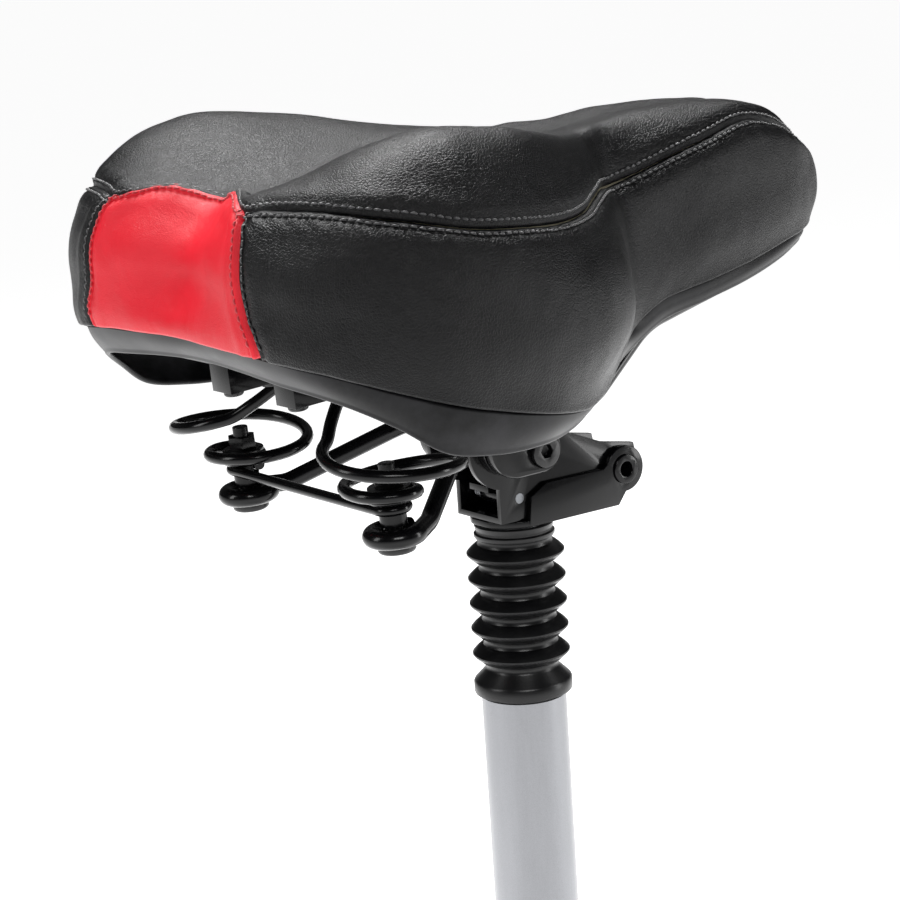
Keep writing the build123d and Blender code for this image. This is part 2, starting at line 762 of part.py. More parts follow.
def main():
    os.makedirs("parts", exist_ok=True)
    save(make_outer_tube(), "outer_tube")
    save(make_guide_bush(), "guide_bush")
    save(make_preload_plug(), "preload_plug")
    save(make_post_spring(), "suspension_spring")
    save(make_inner_stem(), "inner_stem")
    save(make_piston_bush(), "piston_bush")
    save(make_topout_bumper(), "topout_bumper")
    save(make_bellows(), "bellows")
    save(at_bracket(make_lower_bracket()), "lower_bracket")
    save(at_bracket(make_pivot_rivet()), "pivot_rivet")
    save(at_bracket(make_upper_bracket()), "upper_bracket")
    save(at_bracket(make_latch_pin()), "latch_pin")
    save(at_bracket(make_latch_lever()), "latch_lever")
    save(at_bracket(make_latch_spring()), "latch_spring")
    save(at_bracket(make_hub_tube()), "hub_tube")
    save(at_bracket(make_clamp_bolt()), "clamp_bolt")
    save(at_bracket(make_clamp_nut()), "clamp_nut")
    save_both(make_inner_cheek(), "inner_cheek")
    save_both(make_outer_cheek(), "outer_cheek")
    save_both(make_rail(), "rail")
    save(at_saddle(make_cross_brace()), "cross_brace")
    save_pair(make_spring_bolt(), "spring_bolts")
    save_pair(make_spring_sleeve(), "spring_sleeves")
    save_pair(make_spring_washer(), "spring_washers")
    save_pair(make_spring_nut(), "spring_nuts")
    save_both(make_rear_spring(), "rear_spring")
    save(at_saddle(saddle_solid(0)), "foam_cushion")
    top, side_left, side_right, rear = make_cover()
    save(at_saddle(top), "cover_top")
    save(at_saddle(side_left), "cover_side_left")
    save(at_saddle(side_right), "cover_side_right")
    save(at_saddle(rear), "cover_rear_panel")
    save(at_saddle(make_pan_shell()), "pan_shell")
    save(at_saddle(make_nose_hook()), "nose_hook")
    save_both(make_spring_anchor(), "spring_anchor")
    screws = [
        at_saddle(make_anchor_screw(x, side * y)) for x, y in screw_places() for side in (-1, 1)
    ]
    save(Compound(children=screws), "anchor_screws")


main()
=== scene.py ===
"""Looks of a wide sprung saddle with a flip-up bracket, a bellows and a suspension seatpost.

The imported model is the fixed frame. Saddle shapes are worked out in millimetres in the
level saddle frame (+X nose, +Y left, +Z up, zero height at the lower bracket's underside)
and are then tilted and raised to the place that the frame's joints give.
"""
import json
import logging
import math
from dataclasses import dataclass
from enum import Enum

import bpy
import numpy as np
from mathutils import Matrix, Vector
from mathutils import noise as field


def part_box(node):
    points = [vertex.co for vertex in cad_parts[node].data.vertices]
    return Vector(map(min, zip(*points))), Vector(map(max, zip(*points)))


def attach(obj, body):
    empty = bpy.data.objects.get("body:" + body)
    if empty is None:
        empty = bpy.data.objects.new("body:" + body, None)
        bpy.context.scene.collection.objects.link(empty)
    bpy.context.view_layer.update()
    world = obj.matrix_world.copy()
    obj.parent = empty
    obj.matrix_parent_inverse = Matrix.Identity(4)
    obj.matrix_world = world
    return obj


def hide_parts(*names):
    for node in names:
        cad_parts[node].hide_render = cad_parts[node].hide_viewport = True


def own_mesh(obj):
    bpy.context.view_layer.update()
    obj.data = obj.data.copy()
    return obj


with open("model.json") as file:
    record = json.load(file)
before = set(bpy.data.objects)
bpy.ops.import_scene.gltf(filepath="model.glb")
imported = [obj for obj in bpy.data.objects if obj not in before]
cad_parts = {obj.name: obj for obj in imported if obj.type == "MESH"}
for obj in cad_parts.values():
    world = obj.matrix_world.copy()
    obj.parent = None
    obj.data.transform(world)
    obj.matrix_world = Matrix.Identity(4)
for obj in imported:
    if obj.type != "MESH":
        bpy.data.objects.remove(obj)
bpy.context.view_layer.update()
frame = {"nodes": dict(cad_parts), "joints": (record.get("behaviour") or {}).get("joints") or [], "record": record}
MM = 0.001
log = logging.getLogger("saddle")


class Side(Enum):
    """The two sides of the saddle's middle plane."""

    LEFT = 1
    RIGHT = -1

    @property
    def word(self) -> str:
        """The side's name as it stands in piece names."""
        return self.name.lower()


# ---- places that the frame gives ------------------------------------------------------


def joint(name: str) -> dict:
    """The record's joint of that name.

    Args:
        name: The joint's name in the behaviour block.

    Returns:
        The joint as the record states it.
    """
    return next(j for j in frame["joints"] if j["name"] == name)


@dataclass(frozen=True)
class SaddleFrame:
    """Level saddle millimetres to row metres.

    The clamp bolt is where the saddle tilts, and the rails' slide direction gives the tilt.
    """

    bolt_x: float = -1.5
    bolt_z: float = 30.9

    def base_height(self) -> float:
        """Height of the lower bracket's underside, in metres."""
        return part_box("lower_bracket")[0].z

    def tilt(self) -> float:
        """Nose-up angle of the rails, in radians."""
        along = joint("rail_slide")["axis"]
        return math.atan2(along[2], along[0])

    def place(self, points: np.ndarray) -> np.ndarray:
        """Tilt and raise level points.

        Args:
            points: Points in level saddle millimetres, one per row.

        Returns:
            The same points in the row frame, in metres.
        """
        points = np.asarray(points, float)
        turn = self.tilt()
        dx, dz = points[:, 0] - self.bolt_x, points[:, 2] - self.bolt_z
        x = self.bolt_x + dx * math.cos(turn) - dz * math.sin(turn)
        z = self.bolt_z + dx * math.sin(turn) + dz * math.cos(turn)
        placed = np.stack([x, points[:, 1], z], 1) * MM
        placed[:, 2] += self.base_height()
        return placed


SADDLE = SaddleFrame()


# ---- node materials ---------------------------------------------------------------------


def linear(code: str) -> tuple[float, float, float, float]:
    """A display colour as the linear colour that shaders use.

    Args:
        code: The sRGB colour as six hexadecimal digits.

    Returns:
        Linear red, green, blue and a full alpha.
    """
    parts = [int(code[i:i + 2], 16) / 255 for i in (0, 2, 4)]
    lin = [c / 12.92 if c <= 0.04045 else ((c + 0.055) / 1.055) ** 2.4 for c in parts]
    return lin[0], lin[1], lin[2], 1.0


def add_node(tree: bpy.types.NodeTree, kind: str, settings: dict | None = None,
             links: dict | None = None) -> bpy.types.Node:
    """Add a shader node with its settings and the links into it.

    Args:
        tree: The material's node tree.
        kind: The node's type name without its ShaderNode prefix.
        settings: Node properties by name, and socket values by socket name or number.
        links: Output sockets by the name or number of the input that they feed.

    Returns:
        The new node.
    """
    node = tree.nodes.new("ShaderNode" + kind)
    for key, value in (settings or {}).items():
        if isinstance(key, str) and hasattr(node, key):
            setattr(node, key, value)
        else:
            node.inputs[key].default_value = value
    for key, socket in (links or {}).items():
        tree.links.new(socket, node.inputs[key])
    return node


@dataclass(frozen=True)
class Finish:
    """A surface's common values, on which each kind of finish builds."""

    name: str
    colour: str
    roughness: float
    specular: float = 0.5
    metallic: float = 0.0
    coat: float = 0.0
    coat_roughness: float = 0.1
    sheen: float = 0.0

    def build(self) -> bpy.types.Material:
        """Make the material.

        Returns:
            A node material with this finish's pattern on it.
        """
        material = bpy.data.materials.new(self.name)
        material.use_nodes = True
        tree = material.node_tree
        shader = tree.nodes["Principled BSDF"]
        shader.inputs["Base Color"].default_value = linear(self.colour)
        shader.inputs["Roughness"].default_value = self.roughness
        shader.inputs["Specular IOR Level"].default_value = self.specular
        shader.inputs["Metallic"].default_value = self.metallic
        shader.inputs["Coat Weight"].default_value = self.coat
        shader.inputs["Coat Roughness"].default_value = self.coat_roughness
        shader.inputs["Sheen Weight"].default_value = self.sheen
        place = add_node(tree, "TexCoord").outputs["Object"]
        self.pattern(tree, shader, place)
        material.diffuse_color = linear(self.colour)
        return material

    def pattern(self, tree: bpy.types.NodeTree, shader: bpy.types.Node,
                place: bpy.types.NodeSocket) -> None:
        """Add the finish's own pattern; the plain one has none.

        Args:
            tree: The material's node tree.
            shader: The shader that the pattern feeds.
            place: Object coordinates, in metres.
        """

    def bump(self, tree: bpy.types.NodeTree, shader: bpy.types.Node,
             heights: list[tuple[bpy.types.NodeSocket, float]]) -> None:
        """Chain bumps into the shader.

        Args:
            tree: The material's node tree.
            shader: The shader that takes the bent normal.
            heights: Each pattern's socket with its depth in metres.
        """
        normal = None
        for socket, depth in heights:
            links = {"Height": socket}
            if normal is not None:
                links["Normal"] = normal
            node = add_node(tree, "Bump", {"Strength": 1.0, "Distance": depth}, links)
            normal = node.outputs["Normal"]
        tree.links.new(normal, shader.inputs["Normal"])

    def mottle(self, tree: bpy.types.NodeTree, shader: bpy.types.Node,
               socket: bpy.types.NodeSocket, span: tuple[float, float], light: str) -> None:
        """Vary the base colour between this finish's colour and a lighter one.

        Args:
            tree: The material's node tree.
            shader: The shader whose colour varies.
            socket: The pattern that the colour follows.
            span: Values of the pattern between which the colour changes.
            light: The other colour, as hexadecimal digits.
        """
        share = add_node(tree, "MapRange", {"From Min": span[0], "From Max": span[1]},
                         {"Value": socket})
        mix = add_node(tree, "Mix", {"data_type": "RGBA"}, {"Factor": share.outputs["Result"]})
        mix.inputs[6].default_value = linear(self.colour)
        mix.inputs[7].default_value = linear(light)
        tree.links.new(mix.outputs[2], shader.inputs["Base Color"])

    def gloss(self, tree: bpy.types.NodeTree, shader: bpy.types.Node,
              socket: bpy.types.NodeSocket, span: tuple[float, float],
              change: tuple[float, float]) -> None:
        """Vary the roughness about this finish's own.

        Args:
            tree: The material's node tree.
            shader: The shader whose roughness varies.
            socket: The pattern that the roughness follows.
            span: Values of the pattern between which the roughness changes.
            change: What is added to the roughness at each end of the span.
        """
        rough = add_node(tree, "MapRange", {
            "From Min": span[0], "From Max": span[1],
            "To Min": self.roughness + change[0], "To Max": self.roughness + change[1],
        }, {"Value": socket})
        tree.links.new(rough.outputs["Result"], shader.inputs["Roughness"])


@dataclass(frozen=True)
class GrainedLeather(Finish):
    """Polyurethane leather embossed from a release paper: small cells between creases."""

    light: str = "0B0B0C"
    cell_mm: float = 1.2
    crease_depth_mm: float = 0.10
    crease_width: float = 0.22
    fine_depth_mm: float = 0.12
    wrinkle_mm: float = 6.0
    wrinkle_depth_mm: float = 0.45
    wander_mm: float = 1.6

    def pattern(self, tree: bpy.types.NodeTree, shader: bpy.types.Node,
                place: bpy.types.NodeSocket) -> None:
        """Creased cells, finer grain in them, and slack wrinkles over both.

        Args:
            tree: The material's node tree.
            shader: The shader that the pattern feeds.
            place: Object coordinates, in metres.
        """
        drift = add_node(tree, "TexNoise", {
            "Scale": 1 / (self.wrinkle_mm * MM), "Detail": 3.0, "Roughness": 0.6,
        }, {"Vector": place})
        shift = add_node(tree, "VectorMath", {
            "operation": "MULTIPLY_ADD", 1: (self.wander_mm * MM,) * 3,
        }, {0: drift.outputs["Color"], 2: place})
        cells = add_node(tree, "TexVoronoi", {
            "feature": "DISTANCE_TO_EDGE", "Scale": 1 / (self.cell_mm * MM),
            "Randomness": 1.0,
        }, {"Vector": shift.outputs["Vector"]})
        crease = add_node(tree, "MapRange", {"From Min": 0.0, "From Max": self.crease_width},
                          {"Value": cells.outputs["Distance"]}).outputs["Result"]
        fine = add_node(tree, "TexNoise", {
            "Scale": 3.2 / (self.cell_mm * MM), "Detail": 4.0, "Roughness": 0.65,
        }, {"Vector": place})
        wrinkle = add_node(tree, "TexNoise", {
            "Scale": 0.55 / (self.wrinkle_mm * MM), "Detail": 6.0, "Roughness": 0.62,
            "Distortion": 1.3,
        }, {"Vector": place})
        ridge = add_node(tree, "Math", {"operation": "PINGPONG", 1: 0.10},
                         {0: wrinkle.outputs["Fac"]})
        self.bump(tree, shader, [
            (ridge.outputs["Value"], self.wrinkle_depth_mm * MM),
            (crease, self.crease_depth_mm * MM),
            (fine.outputs["Fac"], self.fine_depth_mm * MM),
        ])
        self.mottle(tree, shader, wrinkle.outputs["Fac"], (0.35, 0.7), self.light)
        self.gloss(tree, shader, fine.outputs["Fac"], (0.3, 0.7), (-0.06, 0.08))


@dataclass(frozen=True)
class PowderCoat(Finish):
    """Baked powder paint on steel: glossy, with a faint orange peel."""

    peel_mm: float = 1.6
    peel_depth_mm: float = 0.012
    smear_per_metre: float = 60.0

    def pattern(self, tree: bpy.types.NodeTree, shader: bpy.types.Node,
                place: bpy.types.NodeSocket) -> None:
        """Orange peel, and a gloss that varies with handling.

        Args:
            tree: The material's node tree.
            shader: The shader that the pattern feeds.
            place: Object coordinates, in metres.
        """
        peel = add_node(tree, "TexNoise", {
            "Scale": 1 / (self.peel_mm * MM), "Detail": 2.0, "Roughness": 0.5,
        }, {"Vector": place})
        smear = add_node(tree, "TexNoise", {
            "Scale": self.smear_per_metre, "Detail": 5.0, "Roughness": 0.7,
        }, {"Vector": place})
        self.bump(tree, shader, [(peel.outputs["Fac"], self.peel_depth_mm * MM)])
        self.gloss(tree, shader, smear.outputs["Fac"], (0.3, 0.75), (-0.05, 0.10))


@dataclass(frozen=True)
class MouldedSkin(Finish):
    """Moulded plastic or rubber: a fine spark-eroded texture off the tool."""

    grain_mm: float = 0.7
    grain_depth_mm: float = 0.03
    bloom_per_metre: float = 45.0
    light: str = "242426"

    def pattern(self, tree: bpy.types.NodeTree, shader: bpy.types.Node,
                place: bpy.types.NodeSocket) -> None:
        """Even grain, with a cloudy bloom in the colour and the gloss.

        Args:
            tree: The material's node tree.
            shader: The shader that the pattern feeds.
            place: Object coordinates, in metres.
        """
        grain = add_node(tree, "TexNoise", {
            "Scale": 1 / (self.grain_mm * MM), "Detail": 3.0, "Roughness": 0.7,
        }, {"Vector": place})
        bloom = add_node(tree, "TexNoise", {
            "Scale": self.bloom_per_metre, "Detail": 5.0, "Roughness": 0.65,
        }, {"Vector": place})
        self.bump(tree, shader, [(grain.outputs["Fac"], self.grain_depth_mm * MM)])
        self.mottle(tree, shader, bloom.outputs["Fac"], (0.4, 0.75), self.light)
        self.gloss(tree, shader, bloom.outputs["Fac"], (0.3, 0.7), (-0.05, 0.07))


@dataclass(frozen=True)
class DrawnMetal(Finish):
    """Drawn or plated metal: fine lines along the part and a soft sparkle."""

    line_mm: float = 0.5
    line_depth_mm: float = 0.006
    light: str = "E4E4E6"

    def pattern(self, tree: bpy.types.NodeTree, shader: bpy.types.Node,
                place: bpy.types.NodeSocket) -> None:
        """Lines stretched along Z, and a sparkle of fine grit.

        Args:
            tree: The material's node tree.
            shader: The shader that the pattern feeds.
            place: Object coordinates, in metres.
        """
        stretch = add_node(tree, "Mapping", {"Scale": (1.0, 1.0, 0.03)}, {"Vector": place})
        lines = add_node(tree, "TexNoise", {
            "Scale": 1 / (self.line_mm * MM), "Detail": 3.0, "Roughness": 0.6,
        }, {"Vector": stretch.outputs["Vector"]})
        grit = add_node(tree, "TexNoise", {
            "Scale": 2.2 / (self.line_mm * MM), "Detail": 2.0, "Roughness": 0.6,
        }, {"Vector": place})
        self.bump(tree, shader, [
            (lines.outputs["Fac"], self.line_depth_mm * MM),
            (grit.outputs["Fac"], self.line_depth_mm * MM),
        ])
        self.mottle(tree, shader, grit.outputs["Fac"], (0.35, 0.7), self.light)
        self.gloss(tree, shader, lines.outputs["Fac"], (0.3, 0.7), (-0.04, 0.06))


@dataclass(frozen=True)
class Thread(Finish):
    """Bonded polyester thread: twisted strands and a little fuzz."""

    twist_mm: float = 0.35
    twist_depth_mm: float = 0.12

    def pattern(self, tree: bpy.types.NodeTree, shader: bpy.types.Node,
                place: bpy.types.NodeSocket) -> None:
        """Strand ridges across the stitch.

        Args:
            tree: The material's node tree.
            shader: The shader that the pattern feeds.
            place: Object coordinates, in metres.
        """
        strands = add_node(tree, "TexNoise", {
            "Scale": 1 / (self.twist_mm * MM), "Detail": 1.0,
        }, {"Vector": place})
        self.bump(tree, shader, [(strands.outputs["Fac"], self.twist_depth_mm * MM)])


@dataclass(frozen=True)
class OpenFoam(Finish):
    """Moulded polyurethane foam: pores under a thin skin."""

    pore_mm: float = 1.2
    pore_depth_mm: float = 0.3

    def pattern(self, tree: bpy.types.NodeTree, shader: bpy.types.Node,
                place: bpy.types.NodeSocket) -> None:
        """Pores as small pits.

        Args:
            tree: The material's node tree.
            shader: The shader that the pattern feeds.
            place: Object coordinates, in metres.
        """
        pores = add_node(tree, "TexVoronoi", {"Scale": 1 / (self.pore_mm * MM)},
                         {"Vector": place})
        self.bump(tree, shader, [(pores.outputs["Distance"], self.pore_depth_mm * MM)])


def make_finishes() -> dict[str, bpy.types.Material]:
    """Build every finish once.

    Returns:
        Materials by the name of the record's slot, and two threads.
    """
    finishes = {
        # Embossed polyurethane leather: black, with a soft satin shine on its creases.
        "black_leather": GrainedLeather("grained_pu_leather_black", "050506", 0.36, 0.17),
        # Smoother polyurethane leather, dyed through: a clear red with faint grain.
        "red_leather": GrainedLeather(
            "smooth_pu_leather_red", "BE0E1F", 0.42, 0.25, light="C61425",
            cell_mm=0.9, crease_depth_mm=0.03, wrinkle_mm=14.0, wrinkle_depth_mm=0.5),
        # Polypropylene off a lightly textured tool: dark, with a broad dull shine.
        "black_pan_plastic": MouldedSkin(
            "textured_polypropylene_black", "060607", 0.40, 0.16, grain_mm=0.6,
            grain_depth_mm=0.02),
        # Gloss powder coat on steel wire and sheet: deep black with sharp highlights.
        "black_gloss_paint": PowderCoat(
            "gloss_powder_coat_black", "050506", 0.20, 0.16, coat=0.15, coat_roughness=0.08),
        # Black oxide on steel fasteners: a darker, oilier shine than the paint.
        "black_bolt": PowderCoat(
            "black_oxide_steel", "0A0A0B", 0.28, 0.4, peel_mm=0.5, peel_depth_mm=0.008),
        # Satin anodised aluminium tube: an even silver with fine drawn lines.
        "silver_tube": DrawnMetal(
            "satin_anodised_aluminium", "808184", 0.34, 0.5, metallic=1.0, light="8C8D90"),
        # Moulded chloroprene rubber: near black with a waxy, broad highlight.
        "boot_rubber": MouldedSkin(
            "moulded_rubber_black", "070708", 0.32, 0.3, grain_mm=1.1,
            grain_depth_mm=0.02, light="101011"),
        # Nylon bush: dark and slightly waxy.
        "black_plastic": MouldedSkin("moulded_nylon_black", "18181A", 0.42, 0.5),
        # Zinc plated steel: pale grey with a dull shine.
        "zinc_steel": DrawnMetal(
            "zinc_plated_steel", "6E7073", 0.38, 0.5, metallic=1.0, light="7E8083"),
        # Oiled spring wire: dark grey steel.
        "spring_steel": DrawnMetal(
            "oiled_spring_steel", "5C5D60", 0.33, 0.5, metallic=1.0, light="77787B"),
        # Hard chrome on the sliding stem: bright, with a faint grind.
        "chromed_stem": DrawnMetal(
            "hard_chrome", "C8CACD", 0.14, 0.5, metallic=1.0, light="D2D4D6"),
        # Moulded foam: pale and matt.
        "foam": OpenFoam("moulded_foam", "C9C2AA", 0.85, 0.2),
        # Bonded thread, black on the black panels and red on the red one.
        "black_thread": Thread("bonded_thread_black", "1E1E20", 0.36, 0.6, sheen=0.2),
        "red_thread": Thread("bonded_thread_red", "9E1420", 0.55, 0.4, sheen=0.2),
    }
    return {slot: finish.build() for slot, finish in finishes.items()}


# ---- small mesh helpers -------------------------------------------------------------------


def dress(piece: bpy.types.Object, material: bpy.types.Material) -> None:
    """Give a piece one material on all its faces."""
    piece.data.materials.clear()
    piece.data.materials.append(material)


def mesh_piece(name: str, points: np.ndarray, faces: np.ndarray | list,
               material: bpy.types.Material) -> bpy.types.Object:
    """A mesh object from points and faces.

    Args:
        name: The piece's name.
        points: Vertices in the row frame, in metres.
        faces: Vertex numbers of each face.
        material: What it is finished in.

    Returns:
        The new object, smooth shaded, at the origin.
    """
    data = bpy.data.meshes.new(name)
    data.from_pydata([tuple(p) for p in points], [], [tuple(f) for f in faces])
    data.update()
    piece = bpy.data.objects.new(name, data)
    bpy.context.scene.collection.objects.link(piece)
    dress(piece, material)
    data.shade_smooth()
    return piece


def select_only(piece: bpy.types.Object) -> None:
    """Make a piece the only selected and the active object.

    Args:
        piece: The object to select.
    """
    bpy.ops.object.select_all(action="DESELECT")
    piece.select_set(True)
    bpy.context.view_layer.objects.active = piece


def apply_modifier(piece: bpy.types.Object, kind: str, **settings: object) -> None:
    """Add a modifier with its settings, and apply it at once.

    Args:
        piece: The object that is modified.
        kind: The modifier's type name.
        settings: Its properties by name.
    """
    select_only(piece)
    modifier = piece.modifiers.new(kind.lower(), kind)
    for key, value in settings.items():
        setattr(modifier, key, value)
    bpy.ops.object.modifier_apply(modifier=modifier.name)


def clean(piece: bpy.types.Object, distance: float = 1e-5) -> None:
    """Merge doubled points and turn all faces outwards.

    Args:
        piece: The object that is cleaned.
        distance: Points closer than this become one, in metres.
    """
    select_only(piece)
    bpy.ops.object.mode_set(mode="EDIT")
    bpy.ops.mesh.select_all(action="SELECT")
    bpy.ops.mesh.remove_doubles(threshold=distance)
    bpy.ops.mesh.normals_make_consistent(inside=False)
    bpy.ops.object.mode_set(mode="OBJECT")


def hermite(knots: np.ndarray, values: np.ndarray, at: np.ndarray,
            closed: bool = False) -> np.ndarray:
    """Smooth curve through values at uneven knots.

    Args:
        knots: Rising places of the values; a closed curve has one more knot than values.
        values: One row per knot.
        at: Where to read the curve.
        closed: Whether the last value leads back to the first.

    Returns:
        One row per place read.
    """
    values = np.asarray(values, float)
    knots = np.asarray(knots, float)
    if closed:
        values = np.concatenate([values, values[:1]])
    step = np.diff(knots)
    slope = np.diff(values, axis=0) / step[:, None]
    inner = (slope[:-1] * step[1:, None] + slope[1:] * step[:-1, None])
    inner = inner / (step[1:] + step[:-1])[:, None]
    if closed:
        join = (slope[-1] * step[0] + slope[0] * step[-1]) / (step[0] + step[-1])
        tangent = np.concatenate([[join], inner, [join]])
    else:
        tangent = np.concatenate([[slope[0]], inner, [slope[-1]]])
    cell = np.clip(np.searchsorted(knots, at, side="right") - 1, 0, len(step) - 1)
    h = step[cell][:, None]
    t = ((at - knots[cell]) / step[cell])[:, None]
    a, b = values[cell], values[cell + 1]
    ta, tb = tangent[cell], tangent[cell + 1]
    return (a * (2 * t**3 - 3 * t**2 + 1) + ta * h * (t**3 - 2 * t**2 + t)
            + b * (3 * t**2 - 2 * t**3) + tb * h * (t**3 - t**2))


def profile(pairs: list[tuple[float, float]], at: np.ndarray) -> np.ndarray:
    """Smooth profile, flat beyond its ends.

    Args:
        pairs: Places, rising, each with its value.
        at: Where to read the profile.

    Returns:
        One value per place read.
    """
    table = np.array(pairs, float)
    held = np.clip(at, table[0, 0], table[-1, 0])
    return hermite(table[:, 0], table[:, 1:], held)[:, 0]


def grid_faces(rows: int, columns: int, closed: bool = False) -> np.ndarray:
    """Quads of a grid whose points run along rows first.

    Args:
        rows: Number of rows.
        columns: Number of points in a row.
        closed: Whether each row's end meets its start.

    Returns:
        Four vertex numbers for each quad.
    """
    wrap = columns if closed else columns - 1
    r, c = np.meshgrid(np.arange(rows - 1), np.arange(wrap), indexing="ij")
    n = (c + 1) % columns
    quads = [r * columns + c, r * columns + n, (r + 1) * columns + n, (r + 1) * columns + c]
    return np.stack([q.ravel() for q in quads], 1)


def grid_normals(grid: np.ndarray) -> np.ndarray:
    """Unit normals of a grid of points.

    Args:
        grid: Rows by columns of points.

    Returns:
        A unit normal for each point.
    """
    across = np.gradient(grid, axis=1)
    down = np.gradient(grid, axis=0)
    normal = np.cross(across, down)
    return normal / np.maximum(np.linalg.norm(normal, axis=2, keepdims=True), 1e-9)


# ---- the saddle's shape ----------------------------------------------------------------------


@dataclass(frozen=True)
class Station:
    """One place on the left half of the saddle's edge, from the rear middle to the nose.

    Each ring has a point there, in level saddle millimetres: the seam, the widest bulge,
    the cover's rim, the pan's lower edge, and the place on the middle line behind it.
    """

    seam: tuple[float, float, float]
    bulge: tuple[float, float, float]
    rim: tuple[float, float, float]
    skirt: tuple[float, float, float]
    spine: float


STATIONS = [
    Station((-111, 0, 150), (-132, 0, 127), (-140, 0, 106), (-131, 0, 95), -84),
    Station((-120, 24, 155), (-139, 29, 128), (-141.5, 31, 105.5), (-131.5, 30, 94), -82),
    Station((-131, 45.3, 151.3), (-141.5, 52.5, 126), (-141, 58, 104.5), (-131.5, 56, 92), -80),
    Station((-127.5, 57.5, 151.8), (-138.5, 70, 124), (-138, 74, 102.5), (-129, 71.5, 90), -78),
    Station((-121.5, 77, 151.5), (-131.5, 87, 121), (-130, 89, 99), (-123.5, 85.5, 86), -76),
    Station((-113.5, 93.5, 149), (-120.5, 103, 117), (-118, 102, 93), (-113, 96, 78), -73),
    Station((-101, 104, 145.5), (-105, 114, 112), (-102, 110.5, 86), (-100, 102.5, 67.5), -69),
    Station((-82, 109, 140), (-83, 118.5, 107), (-80.5, 112.5, 78.5), (-80, 104, 62), -62),
    Station((-58, 106, 135.5), (-57, 118, 103), (-56, 110, 71.5), (-57, 101, 59.5), -50),
    Station((-36, 97, 132), (-33, 112, 100), (-34, 99, 66.5), (-37, 91, 58.5), -34),
    Station((-14, 81.5, 130), (-10, 98, 98), (-13, 83, 66.5), (-16, 76, 59), -16),
    Station((4, 65.5, 130.5), (8, 77, 97), (4, 68, 68), (1, 62, 60.5), 2),
    Station((20, 50.5, 130.5), (23, 57, 98), (22, 52, 70.5), (20, 47, 62), 18),
    Station((33, 37.5, 128), (38, 43.5, 98), (38, 40, 74), (37, 36, 64), 33),
    Station((51, 35, 130), (56, 39.5, 101), (55, 36.5, 79.5), (56, 32, 70), 52),
    Station((83, 34.5, 136), (84, 39, 104), (83, 33.5, 82), (82, 30, 73), 83),
    Station((112, 29, 139), (114, 34, 107), (112, 29.5, 84.5), (110, 25.5, 75.5), 109),
    Station((134, 22, 133.5), (137.5, 27, 107), (134.5, 23.5, 86.5), (131.5, 19.5, 78), 127),
    Station((149, 14, 126), (155, 17.5, 105.5), (151, 15.5, 87), (147, 12, 79.5), 137),
    Station((158, 6.5, 121.5), (166.5, 8.5, 103.5), (161.5, 7.5, 88.5), (157, 6, 81), 143),
    Station((161, 0, 120), (170, 0, 102), (165, 0, 89.5), (160.5, 0, 82), 145),
]


